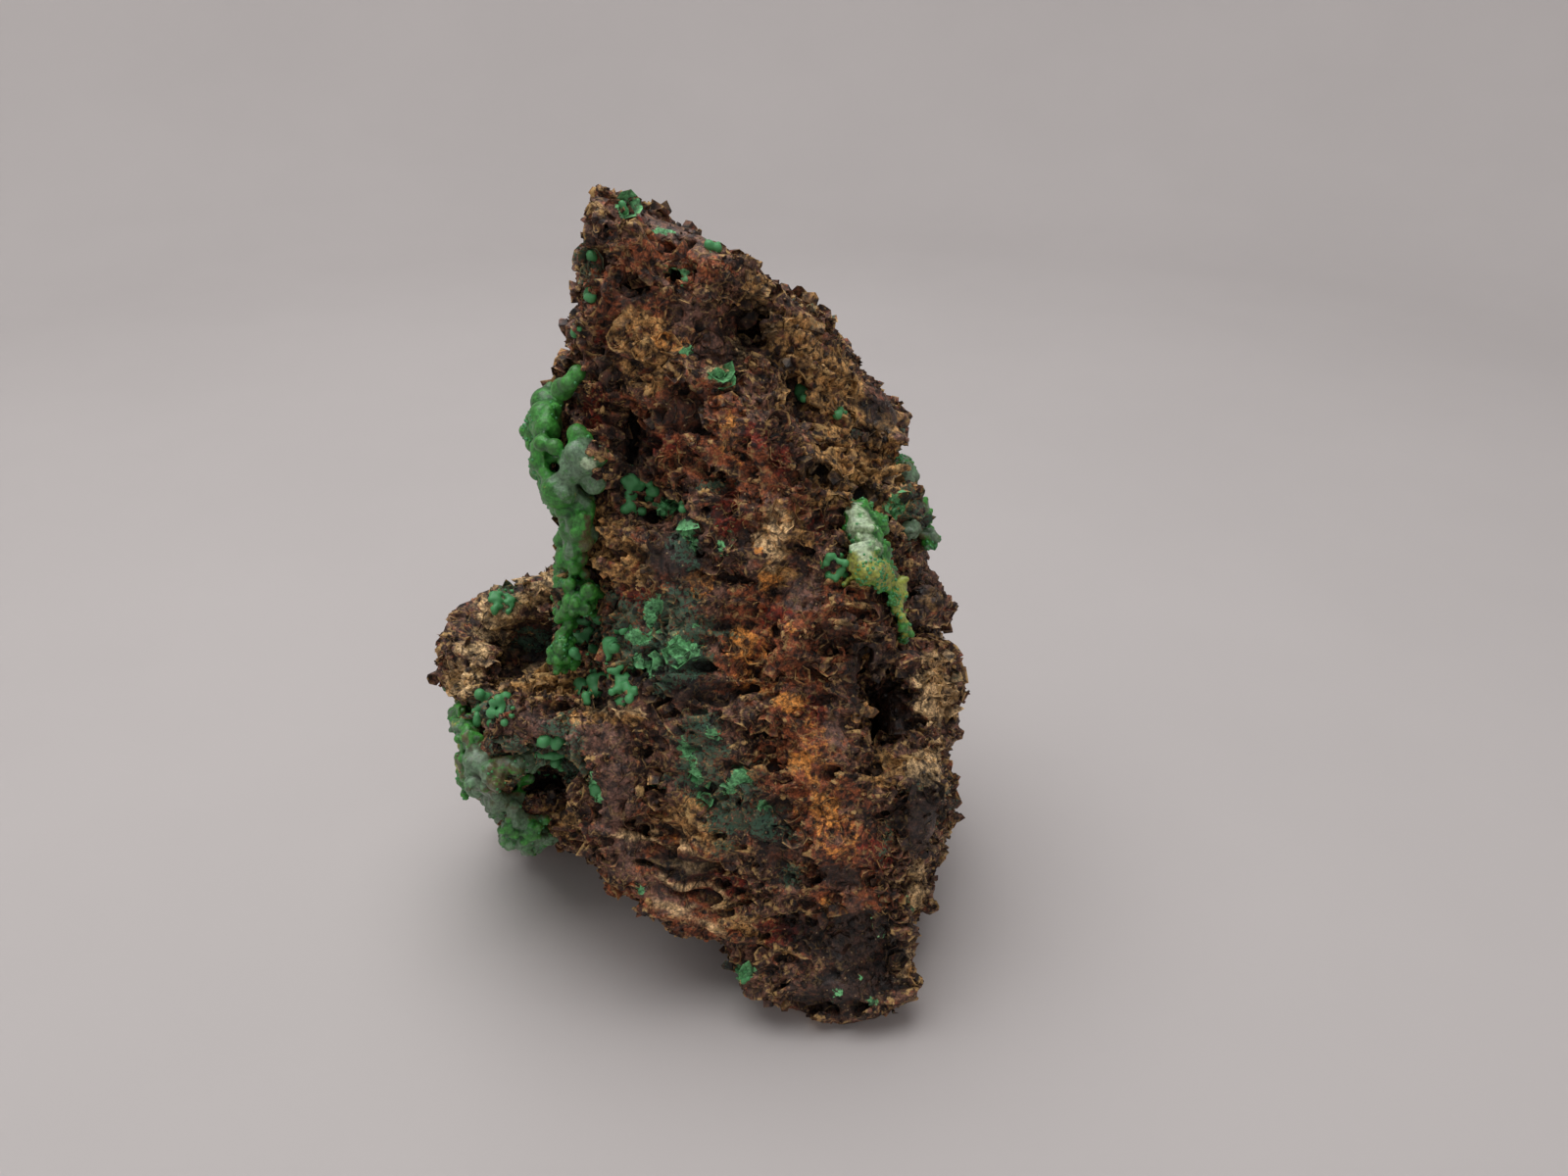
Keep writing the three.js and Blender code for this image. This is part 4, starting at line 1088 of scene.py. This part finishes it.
def conichalcite_material(name, settings):
    """Waxy green skin with painted shade in its hollows, light on its balls, dulled and yellowed in patches.
    """
    material, wires, shader = new_material(name)
    place = wires.place()
    tone = wires.mix(wires.span(wires.noise(place, 0.9), 0.35, 0.65), settings.deep, settings.bright)
    tone = wires.mix(wires.math("MULTIPLY", wires.layer("rim"), 0.3), tone, settings.light)
    for layer, stain, size, most in (
        ("dust", settings.dust, 0.5, 0.85),
        ("grey", settings.grey, 0.8, 0.85),
        ("olive", settings.olive, 0.7, 0.9),
        ("pale", settings.pale, 0.8, 0.9),
    ):
        mask = broken(wires, wires.layer(layer), size, 0.6)
        tone = wires.mix(wires.math("MULTIPLY", mask, most), tone, stain)
    tone = wires.scaled(tone, wires.span(wires.noise(place, 0.25, 4), 0.3, 0.7, 0.62, 1.35))
    wires.feed(shader["Base Color"], hollow_shade(wires, tone, 0.9))
    wires.feed(shader["Roughness"], wires.span(wires.noise(place, 0.5), 0.3, 0.7, 0.36, 0.6))
    inputs = {"Height": stone_grain(wires, 0.22, 0.3), "Distance": 0.06 * MM, "Strength": 1.0}
    wires.feed(shader["Normal"], wires.add("ShaderNodeBump", inputs).outputs[0])
    shader["Coat Weight"].default_value = 0.2
    shader["Coat Roughness"].default_value = 0.25
    return material


def hand_over(piece, slot, *nodes):
    """Sets a finished piece on the body that it rides on, and hides the CAD nodes that it stands for. The
    slot is not used.
    """
    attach(piece, BODY)
    if nodes:
        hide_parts(*nodes)


def crust_slot(node):
    return "pale_conichalcite" if node == "right_cap_crust" else "conichalcite"


def broken_away(points, name, tree):
    """Where a crust has broken away, from 0 to 1."""
    bare = by_chance(points, *BROKEN_PATCHES, CRUST_BARE[name])
    return np.maximum(bare, spotted(points, "bare", tree, BARE_SPOT_SEED))


def bedded_rock(settings, crusts):
    """The plain rock, softened, and filled up to the undersides of its crusts."""
    field = Field(*solid(ROCK_NODE), settings.cell, settings.band, margin=8)
    for node, crust in crusts.items():
        free = ramp(crust.heights(), CRUST_BEDS[node], CRUST_BEDS[node] + BED_END)
        field.join(crust, settings.cover + settings.band * free, settings.bed)
    field.values = blur(field.values, 1)
    return field


def relief_spots(points, tree):
    """How strongly each point lies in the spots that shape the rock, for each kind."""
    kinds = ("dense", "granular", "layered", "boxwork", "vug", "pit", "set_back")
    behind = {"vug": OPENING_DEPTH, "pit": OPENING_DEPTH}
    return {
        kind: spotted(points, kind, tree, RELIEF_SPOT_SEED + number, behind.get(kind, SPOT_DEPTH))
        for number, kind in enumerate(kinds)
    }


def roughness(settings, points, spots):
    """How far crags, walls, hollows, crumbs, plates and pits stand out of the plain rock."""
    hidden = ramp(points[:, 1], *OUT_OF_SIGHT)
    smooth = SMOOTH_BACK_MOST * hidden * ramp(waves(points, *SMOOTH_BACK), 0.1, 0.7)
    dense = np.maximum(spots["dense"], smooth)
    boxwork = np.maximum(spots["boxwork"], hidden * ramp(waves(points, *BOXWORK_BACK), -0.1, 0.4))
    layered = spots["layered"]
    ground = ramp(points[:, 2], *GROUND)
    rugged = ground * (1 - DENSE_CALM * dense) * (1 - GRANULAR_CALM * spots["granular"])
    first, second, _ = grains(points, *WALLS)
    wall = ramp(second - first, WALL_WIDTH, 0.0)
    first, second, _ = grains(points, *COARSE_WALLS)
    wall += (ramp(second - first, COARSE_WALL_WIDTH, 0.0) * COARSE_WALL_RISE - wall) * boxwork
    crumb, _, _ = grains(points, *CRUMBS)
    pit, _, chance = grains(points, *PITS)
    slant = points @ PLATES.astype(np.float32) + 0.9 * waves(points, *PLATE_WANDER)
    plate = ramp(np.abs((slant / settings.layer) % 1 - 0.5), 0.5, 0.12) - PLATE_FOOT
    out = settings.crag * waves(points, *CRAGS)
    out += settings.wall * (wall - WALL_FOOT) * (1 - LAYERED_CALM * layered)
    out -= settings.vug * ramp(waves(points, *SMALL_HOLLOWS), 0.1, 0.75)
    out += settings.crumb * (CRUMB_FOOT - crumb)
    out += settings.plate * plate * layered
    out -= settings.pit * ramp(pit, *PIT_MOUTH) * (chance < PIT_SHARE)
    out *= rugged
    out += FINE_CRUMB * (0.5 - crumb) * ground
    return out


def rock_field(settings, tree):
    """The rock, rough in the open, calm under its crusts, and cut into by its openings."""
    crusts = {node: Field(*solid(node), settings.cell, settings.band) for node in CRUST_BALLS}
    field = bedded_rock(settings, crusts)
    near = (field.values > -settings.band * ROCK_WORKED) & (field.values < settings.reach)
    points = field.places(near)
    covered = np.zeros(len(points), np.float32)
    for node, crust in crusts.items():
        under = ramp(crust.at(points), *UNDER_CRUST) * crust.holds(points)
        covered = np.maximum(covered, under * (1 - broken_away(points, node, tree)))
    spots = relief_spots(points, tree)
    out = roughness(settings, points, spots)
    out -= settings.opening * spots["vug"] + settings.vug * spots["pit"]
    out = out * (1 - covered) - settings.sunk * covered - settings.set_back * spots["set_back"]
    field.values[near] -= out
    field.keep_above_ground()
    return field


class SPECIMEN_OT_rock(bpy.types.Operator):
    """Build the crumbly boxwork rock over its plain solid"""

    bl_idname = "specimen.rock"
    bl_label = "Rock"

    def execute(self, context):
        settings = context.scene.specimen_rock
        tree = search_tree(*whole_stone())
        field = rock_field(settings, tree)
        points, faces = largest_body(*field.faces())
        if not len(faces):
            raise RuntimeError("the rock has no skin")
        piece = settle("gossan_rock", build_mesh("gossan_rock", points, faces), thinned(settings.triangles))
        mesh = piece.data
        hollow, rim = paint_relief(mesh, field, settings)
        points, normals = vertices(mesh)
        hidden = 1 - facing_eye(points, normals)
        spots = {}
        for number, (kind, share) in enumerate(HIDDEN_SHARES.items()):
            patch = by_chance(points, STAIN_PATCH_SIZE, STAIN_PATCH_SEED + number, share)
            spots[kind] = spotted(points, kind, tree, STAIN_SPOT_SEED + number)
            paint(mesh, kind, np.maximum(spots[kind], hidden * patch))
        high = ramp(waves(points, *HIGH_GROUND), -0.5, 0.4)
        granular = spotted(points, "granular", tree, GRANULAR_SPOT_SEED)
        calm = np.maximum(0.95 * spots["dense"], 0.75 * granular)
        clear = ramp(points[:, 2], 1.0, 3.0) * (1 - 0.9 * spots["layered"])
        paint(mesh, "cup", (0.3 + 0.7 * high) * (1 - hollow) * (1 - calm) * clear)
        paint(mesh, "frill", (0.15 + 0.85 * rim) * high * (1 - hollow) * (1 - calm) * clear)
        paint(mesh, "crumb", (1 - 0.5 * calm) * (1 - 0.6 * hollow) * clear)
        mesh.materials.append(gossan_material("gossan", settings, edge_share=0.55, grain=0.12))
        hand_over(piece, "gossan", ROCK_NODE)
        return {"FINISHED"}


def add_balls(field, rng, rock, smallest, largest, count, spacing, sunk, low, high, blend):
    """Sets balls on a crust's outer side, no two nearer than a share of their size."""
    skin = field.places(np.abs(field.values) < field.cell * 0.5)
    skin = skin[(rock.at(skin) > BALL_CLEAR) & (skin[:, 2] > low) & (skin[:, 2] < high)]
    skin = skin[rng.permutation(len(skin))][: count * BALL_TRIES]
    radii = smallest + (largest - smallest) * rng.random(len(skin))
    kept = []
    for n, point in enumerate(skin):
        if kept and ((skin[kept] - point) ** 2).sum(1).min() < (radii[n] * spacing) ** 2:
            continue
        kept.append(n)
        if len(kept) == count:
            break
    centres = skin[kept] - field.slope(skin[kept]) * (radii[kept] * sunk)[:, None]
    for centre, radius in zip(centres, radii[kept]):
        field.join_ball(centre, radius, blend)


def add_lobe(field, tree, across, down, half_width, sunk, blend):
    """Sets a single lobe where the photo shows one, half its size given in pixels."""
    sight = ray(across, down)
    depth = depth_at(tree, across, down)
    radius = half_width * depth / FOCAL
    field.join_ball(EYE + sight * depth + sight * radius * sunk, radius, blend)


def crust_field(name, settings, rock, tree):
    """A crust over the rock that fills its bed, broken away in places and covered in balls."""
    field = Field(*solid(name), settings.cell, settings.band, margin=CRUST_MARGIN)
    near = np.abs(field.values) < settings.band * CRUST_WORKED
    points = field.places(near)
    bare = broken_away(points, name, tree)
    field.values[near] += settings.broken * bare + CRUST_SHRINK - CRUST_SWELL * waves(points, *CRUST_SWELLS)
    rng = np.random.default_rng(len(name))
    for balls in CRUST_BALLS[name]:
        add_balls(field, rng, rock, *balls, settings.blend)
    field.keep_above_ground()
    return field


def open_peephole(field, across, down, half_width):
    """Takes out what lies along the line of sight through a pixel."""
    sight = ray(across, down).astype(np.float32)
    sight /= np.linalg.norm(sight)
    near = field.values < field.band * CRUST_WORKED
    offset = field.places(near) - EYE.astype(np.float32)
    aside = offset - (offset @ sight)[:, None] * sight
    field.values[near] = np.maximum(field.values[near], half_width - np.linalg.norm(aside, axis=1))


def paint_crust(mesh, field, settings, looks, tree):
    """Marks where a green piece is grey, pale, olive or dusty, and where spherules sit on it."""
    paint_relief(mesh, field, settings)
    points, _ = vertices(mesh)
    for number, (kind, share) in enumerate(looks.items()):
        patch = by_chance(points, LOOK_PATCH_SIZE, LOOK_PATCH_SEED + number, share, full=1.6)
        paint(mesh, kind, np.maximum(patch, spotted(points, kind, tree, LOOK_SPOT_SEED + number)))
    shell = spotted(points, "shell", tree, SHELL_SPOT_SEED)
    paint(mesh, "spherule", ramp(waves(points, *SPHERULE_PATCHES), -0.2, 0.6) * (1 - shell))


class SPECIMEN_OT_crusts(bpy.types.Operator):
    """Grow the lumpy green crusts over their plain solids"""

    bl_idname = "specimen.crusts"
    bl_label = "Green crusts"

    def execute(self, context):
        settings = context.scene.specimen_crust
        rock = Field(*surface(bpy.data.objects["gossan_rock"].data), GUIDE_CELL, GUIDE_BAND, margin=12)
        tree = search_tree(*whole_stone())
        material = conichalcite_material("conichalcite", settings)
        for node in CRUST_BALLS:
            field = crust_field(node, settings, rock, tree)
            if node == "left_edge_crust":
                for lobe in LOBES:
                    add_lobe(field, tree, *lobe, settings.lobe_blend)
                open_peephole(field, *PEEPHOLE)
            name = node.replace("_crust", "_conichalcite")
            piece = settle(name, build_mesh(name, *field.faces()), thinned(settings.triangles))
            paint_crust(piece.data, field, settings, CRUST_LOOKS[node], tree)
            piece.data.materials.append(material)
            hand_over(piece, crust_slot(node), node)
        return {"FINISHED"}


class SPECIMEN_OT_knobs(bpy.types.Operator):
    """Set loose groups of green knobs on the rock's face"""

    bl_idname = "specimen.knobs"
    bl_label = "Green knobs"

    def execute(self, context):
        settings = context.scene.specimen_crust
        points, triangles = surface(bpy.data.objects["gossan_rock"].data)
        field = Field(points, triangles, KNOB_CELL, KNOB_BAND, margin=10)
        tree = search_tree(points, triangles)
        rng = np.random.default_rng(KNOB_SEED)
        places, radii = [], []
        for x, y, spread, count, smallest, largest in KNOB_GROUPS:
            for _ in range(count):
                turn, reach = rng.random() * math.tau, math.sqrt(rng.random()) * spread
                hit = seen_at(tree, x + reach * math.cos(turn), y + reach * math.sin(turn))
                if hit is not None:
                    places.append(hit)
                    radii.append(smallest + (largest - smallest) * rng.random() ** KNOB_SMALLER)
        places, radii = np.array(places), np.array(radii, np.float32)
        centres = places + field.slope(places) * (radii * KNOB_PROUD)[:, None]
        field.values = np.full_like(field.values, field.band)
        for centre, radius in zip(centres, radii):
            field.join_ball(centre, radius, settings.blend)
        mesh = build_mesh("conichalcite_knobs", *field.faces())
        piece = settle("conichalcite_knobs", mesh, thinned(settings.triangles))
        paint_crust(piece.data, field, settings, KNOB_LOOKS, search_tree(*whole_stone()))
        piece.data.materials.append(bpy.data.materials["conichalcite"])
        hand_over(piece, "conichalcite")
        return {"FINISHED"}


def wall_shape(rng, columns, sweep, back, height):
    """A thin, ragged wall bent round part of a circle about one across."""
    shape = bmesh.new()
    rows = []
    for n in range(columns):
        angle = sweep * (n / (columns - 1) - 0.5)
        way = Vector((math.sin(angle), math.cos(angle), 0))
        foot = way * (WALL_RADIUS + 0.12 * rng.random()) - Vector((0, back, WALL_SUNK))
        lift = height * (0.4 + rng.random() + (0.35 if 0 < n < columns - 1 else 0)) + WALL_SUNK
        top = foot + way * (0.05 + 0.3 * rng.random()) + Vector((0, 0, lift))
        half = way * WALL_HALF_THICKNESS
        rows.append([shape.verts.new(place) for place in (foot - half, foot + half, top)])
    for left, right in zip(rows, rows[1:]):
        for a, b in ((0, 1), (1, 2), (2, 0)):
            shape.faces.new((left[a], left[b], right[b], right[a]))
    shape.faces.new(rows[0])
    shape.faces.new(rows[-1][::-1])
    return shape


def cup_shape(rng):
    """The wall of a boxwork cup, open on one side."""
    return wall_shape(rng, 6, math.radians(190 + 130 * rng.random()), 0.0, 0.28)


def frill_shape(rng):
    """A short curled flake."""
    return wall_shape(rng, 4, math.radians(90 + 60 * rng.random()), 0.35, 0.55)


def crumb_shape(rng):
    """An angular grain, about one across."""
    shape = bmesh.new()
    bmesh.ops.create_icosphere(shape, subdivisions=1, radius=0.5)
    stretch = 0.7 + 0.6 * rng.random(3)
    for vert in shape.verts:
        vert.co = Vector(np.array(vert.co) * stretch * (0.75 + 0.5 * rng.random()))
    return shape


def spherule_shape(rng):
    """A small ball, one in radius."""
    shape = bmesh.new()
    bmesh.ops.create_icosphere(shape, subdivisions=1, radius=1)
    squash = 0.85 + 0.2 * rng.random()
    for vert in shape.verts:
        vert.co.z *= squash
    return shape


def shape_collection(name, make, count, seed, smooth):
    """Several shapes of a kind in a collection that isn't in the scene, in millimetres."""
    rng = np.random.default_rng(seed)
    collection = bpy.data.collections.new(name)
    for n in range(count):
        shape = make(rng)
        bmesh.ops.triangulate(shape, faces=shape.faces)
        bmesh.ops.recalc_face_normals(shape, faces=shape.faces)
        tips = np.array([ramp(vert.co.z, *TIP_HEIGHTS) for vert in shape.verts])
        shape.transform(Matrix.Scale(MM, 4))
        mesh = bpy.data.meshes.new(f"{name}_{n}")
        shape.to_mesh(mesh)
        shape.free()
        paint(mesh, "tip", tips)
        # Painted shade: each shape's foot, where it meets the surface, is marked as hollow so that it is
        # darkened.
        paint(mesh, "hollow", FOOT_SHADE * (1 - tips))
        mesh.polygons.foreach_set("use_smooth", [smooth] * len(mesh.polygons))
        collection.objects.link(bpy.data.objects.new(mesh.name, mesh))
    return collection


def scatter_tree(name, variants):
    """Geometry nodes that scatter a collection's shapes over a surface."""
    tree = bpy.data.node_groups.new(name, "GeometryNodeTree")
    sockets = {
        "Surface": "NodeSocketGeometry", "Shapes": "NodeSocketCollection", "Finish": "NodeSocketMaterial",
        "Where": "NodeSocketFloat", "Density": "NodeSocketFloat", "Smallest": "NodeSocketFloat",
        "Largest": "NodeSocketFloat", "Lean": "NodeSocketFloat", "Seed": "NodeSocketInt",
    }
    for socket, kind in sockets.items():
        tree.interface.new_socket(name=socket, in_out="INPUT", socket_type=kind)
    tree.interface.new_socket(name="Grains", in_out="OUTPUT", socket_type="NodeSocketGeometry")
    wires = Wiring(tree)
    given = wires.add("NodeGroupInput").outputs
    result = wires.add("NodeGroupOutput").inputs
    density = wires.math("MULTIPLY", given["Where"], given["Density"])
    scatter = wires.add(
        "GeometryNodeDistributePointsOnFaces",
        {"Mesh": given["Surface"], "Density": density, "Seed": given["Seed"]},
    )
    inputs = {"Collection": given["Shapes"], "Separate Children": True}
    shapes = wires.add("GeometryNodeCollectionInfo", inputs)
    pick = wires.add("FunctionNodeRandomValue", data_type="INT")
    pick.inputs[4].default_value = 0
    pick.inputs[5].default_value = variants - 1
    wires.feed(pick.inputs["Seed"], given["Seed"])
    size = wires.add("FunctionNodeRandomValue", data_type="FLOAT")
    wires.feed(size.inputs[2], given["Smallest"])
    wires.feed(size.inputs[3], given["Largest"])
    lean = wires.add("FunctionNodeRandomValue", data_type="FLOAT")
    wires.feed(lean.inputs[2], wires.math("MULTIPLY", given["Lean"], -1.0))
    wires.feed(lean.inputs[3], given["Lean"])
    wires.feed(lean.inputs["Seed"], wires.math("ADD", given["Seed"], 3.0))
    spin = wires.add("FunctionNodeRandomValue", data_type="FLOAT")
    spin.inputs[3].default_value = math.tau
    wires.feed(spin.inputs["Seed"], wires.math("ADD", given["Seed"], 5.0))
    turn = wires.add("ShaderNodeCombineXYZ", {0: lean.outputs[1], 2: spin.outputs[1]})
    rotation = wires.add("FunctionNodeRotateRotation", rotation_space="LOCAL")
    wires.feed(rotation.inputs[0], scatter.outputs["Rotation"])
    wires.feed(rotation.inputs[1], wires.add("FunctionNodeEulerToRotation", {0: turn.outputs[0]}).outputs[0])
    placed = wires.add(
        "GeometryNodeInstanceOnPoints",
        {
            "Points": scatter.outputs["Points"], "Instance": shapes.outputs[0], "Pick Instance": True,
            "Instance Index": pick.outputs[2], "Rotation": rotation.outputs[0], "Scale": size.outputs[1],
        },
    )
    real = wires.add("GeometryNodeRealizeInstances", {0: placed.outputs[0]})
    finish = wires.add("GeometryNodeSetMaterial", {"Geometry": real.outputs[0], "Material": given["Finish"]})
    wires.feed(result["Grains"], finish.outputs[0])
    return tree


def weighted_area(mesh, where):
    """A mesh's area, in square metres, each triangle weighed with a painted number."""
    points, triangles = surface(mesh)
    weights = np.empty(len(points), np.float32)
    mesh.attributes[where].data.foreach_get("value", weights)
    a, b, c = (points[triangles[:, n]] * MM for n in range(3))
    areas = np.linalg.norm(np.cross(b - a, c - a), axis=1) / 2
    return float((areas * weights[triangles].mean(1)).sum())


def scattered(name, host, shapes, material, where, count, least_most, lean, seed):
    """Scatters about so many shapes over a host piece and returns them as one plain mesh object."""
    tree = scatter_tree(name, len(shapes.objects))
    values = {
        "Shapes": shapes, "Finish": material, "Density": count / weighted_area(host.data, where),
        "Smallest": least_most[0], "Largest": least_most[1], "Lean": lean, "Seed": seed,
    }

    def modify(piece):
        nodes = piece.modifiers.new("scatter", "NODES")
        nodes.node_group = tree
        for item in tree.interface.items_tree:
            if item.in_out == "INPUT" and item.name in values:
                nodes[item.identifier] = values[item.name]
            if item.in_out == "INPUT" and item.name == "Where":
                nodes[item.identifier + "_use_attribute"] = True
                nodes[item.identifier + "_attribute_name"] = where

    piece = settle(name, host.data.copy(), modify)
    for shape in list(shapes.objects):
        bpy.data.objects.remove(shape)
    bpy.data.collections.remove(shapes)
    if not len(piece.data.polygons):
        raise RuntimeError(f"{name} came out empty")
    return piece


def keep_clear_of_crusts(mesh, layers):
    """Takes painted numbers down to nothing where the green crusts cover a rock."""
    points, _ = vertices(mesh)
    clear = np.ones(len(points), np.float32)
    for node in CRUST_BALLS:
        crust = bpy.data.objects[node.replace("_crust", "_conichalcite")].data
        away = Field(*surface(crust), GUIDE_CELL, CLEAR_BAND).at(points)
        clear = np.minimum(clear, ramp(away, *CLEAR_OF_CRUST))
    for name in layers:
        layer = mesh.attributes[name].data
        values = np.empty(len(points), np.float32)
        layer.foreach_get("value", values)
        layer.foreach_set("value", values * clear)


class SPECIMEN_OT_grains(bpy.types.Operator):
    """Scatter cups, frills and crumbs over the rock, and spherules over the crusts"""

    bl_idname = "specimen.grains"
    bl_label = "Small grains"

    def execute(self, context):
        settings = context.scene.specimen_scatter
        rock_settings = context.scene.specimen_rock
        rock = bpy.data.objects["gossan_rock"]
        keep_clear_of_crusts(rock.data, ("cup", "frill", "crumb"))
        finish = gossan_material("gossan grains", rock_settings, edge_share=0.0, grain=0.05)
        for name, make, kind, count, least_most, lean in (
            ("boxwork_cups", cup_shape, "cup", settings.cups, settings.cup, 0.45),
            ("boxwork_frills", frill_shape, "frill", settings.frills, settings.frill, 0.9),
            ("rock_crumbs", crumb_shape, "crumb", settings.crumbs, settings.crumb, math.pi),
        ):
            shapes = shape_collection(kind, make, GRAIN_VARIANTS, seed=len(name), smooth=False)
            seed = settings.seed + len(name)
            hand_over(scattered(name, rock, shapes, finish, kind, count, least_most, lean, seed), "gossan")
        for number, node in enumerate(CRUST_BALLS):
            name = node.replace("_crust", "_spherules")
            host = bpy.data.objects[node.replace("_crust", "_conichalcite")]
            shapes = shape_collection(
                "spherule", spherule_shape, SPHERULE_VARIANTS, seed=SPHERULE_SEED, smooth=True
            )
            piece = scattered(
                name, host, shapes, bpy.data.materials["conichalcite"], "spherule",
                settings.spherules, settings.spherule, lean=0.3, seed=settings.seed + 2 + number,
            )
            hand_over(piece, crust_slot(node))
        return {"FINISHED"}


def area_light(name, place, target, size, power):
    lamp = bpy.data.lights.new(name, "AREA")
    lamp.shape = "DISK"
    lamp.size = size
    lamp.energy = power
    light = bpy.data.objects.new(name, lamp)
    bpy.context.scene.collection.objects.link(light)
    light.location = place
    light.rotation_euler = (Vector(target) - Vector(place)).to_track_quat("-Z", "Y").to_euler()


def floor_mesh(radius, rise):
    """A round floor, level in the middle, whose edge bends up behind and before the stone."""
    floor = bmesh.new()
    rings, sides, level = 24, 96, 0.55
    middle = floor.verts.new((0, 0, 0))
    inner = None
    for n in range(1, rings + 1):
        share = n / rings
        lift = rise * max(0.0, (share - level) / (1 - level)) ** 2
        turns = [math.tau * m / sides for m in range(sides)]
        width = radius * share
        ring = [floor.verts.new((width * math.cos(a), width * math.sin(a), lift)) for a in turns]
        for m in range(sides):
            after = (m + 1) % sides
            back = [middle] if inner is None else [inner[after], inner[m]]
            floor.faces.new([ring[m], ring[after], *back])
        inner = ring
    mesh = bpy.data.meshes.new("floor")
    floor.to_mesh(mesh)
    floor.free()
    mesh.polygons.foreach_set("use_smooth", [True] * len(mesh.polygons))
    return mesh


def studio_world(strength):
    """Even light from all round."""
    world = bpy.data.worlds.new("studio")
    world.use_nodes = True
    background = world.node_tree.nodes["Background"].inputs
    background["Color"].default_value = SKY_COLOUR
    background["Strength"].default_value = strength
    return world


def photo_camera():
    """A camera where the photo was taken from."""
    lens = bpy.data.cameras.new("photo eye")
    lens.lens = LENS
    lens.sensor_width = SENSOR
    lens.clip_start = MM
    lens.clip_end = 10
    camera = bpy.data.objects.new("photo eye", lens)
    bpy.context.scene.collection.objects.link(camera)
    camera.location = EYE * MM
    camera.rotation_euler = (math.pi / 2 - EYE_DOWN, 0, 0)
    return camera


class SPECIMEN_OT_stage(bpy.types.Operator):
    """Lay the pale floor, and set the lights and the camera"""

    bl_idname = "specimen.stage"
    bl_label = "Stage"

    def execute(self, context):
        settings = context.scene.specimen_stage
        mesh = floor_mesh(settings.floor, settings.rise)
        material, wires, shader = new_material("paper")
        soft = wires.span(wires.noise(wires.place(), 60), 0.3, 0.7, 0.97, 1.0)
        wires.feed(shader["Base Color"], wires.scaled(settings.paper, soft))
        shader["Roughness"].default_value = 0.8
        mesh.materials.append(material)
        stage = bpy.data.objects.new("floor", mesh)
        context.scene.collection.objects.link(stage)

        area_light("overhead", *OVERHEAD, settings.key)
        area_light("front", *FRONT, settings.fill)
        context.scene.world = studio_world(settings.sky)
        context.scene.camera = photo_camera()
        context.scene.view_settings.view_transform = "Standard"
        return {"FINISHED"}


class SPECIMEN_PT_panel(bpy.types.Panel):
    """Lists the specimen's pieces"""

    bl_label = "Conichalcite specimen"
    bl_space_type = "VIEW_3D"
    bl_region_type = "UI"
    bl_category = "Specimen"

    def draw(self, context):
        for operator in OPERATORS:
            self.layout.operator(operator.bl_idname)


SETTINGS = {
    "specimen_rock": SpecimenRockSettings,
    "specimen_crust": SpecimenCrustSettings,
    "specimen_scatter": SpecimenScatterSettings,
    "specimen_stage": SpecimenStageSettings,
}
OPERATORS = (SPECIMEN_OT_rock, SPECIMEN_OT_crusts, SPECIMEN_OT_knobs, SPECIMEN_OT_grains, SPECIMEN_OT_stage)


def register():
    for group in SETTINGS.values():
        bpy.utils.register_class(group)
    for name, group in SETTINGS.items():
        setattr(bpy.types.Scene, name, PointerProperty(type=group))
    for operator in OPERATORS:
        bpy.utils.register_class(operator)
    bpy.utils.register_class(SPECIMEN_PT_panel)


def unregister():
    bpy.utils.unregister_class(SPECIMEN_PT_panel)
    for operator in reversed(OPERATORS):
        bpy.utils.unregister_class(operator)
    for name, group in SETTINGS.items():
        delattr(bpy.types.Scene, name)
        bpy.utils.unregister_class(group)


def main():
    register()
    bpy.ops.specimen.rock()
    bpy.ops.specimen.crusts()
    bpy.ops.specimen.knobs()
    bpy.ops.specimen.grains()
    bpy.ops.specimen.stage()


if __name__ == "__main__":
    main()
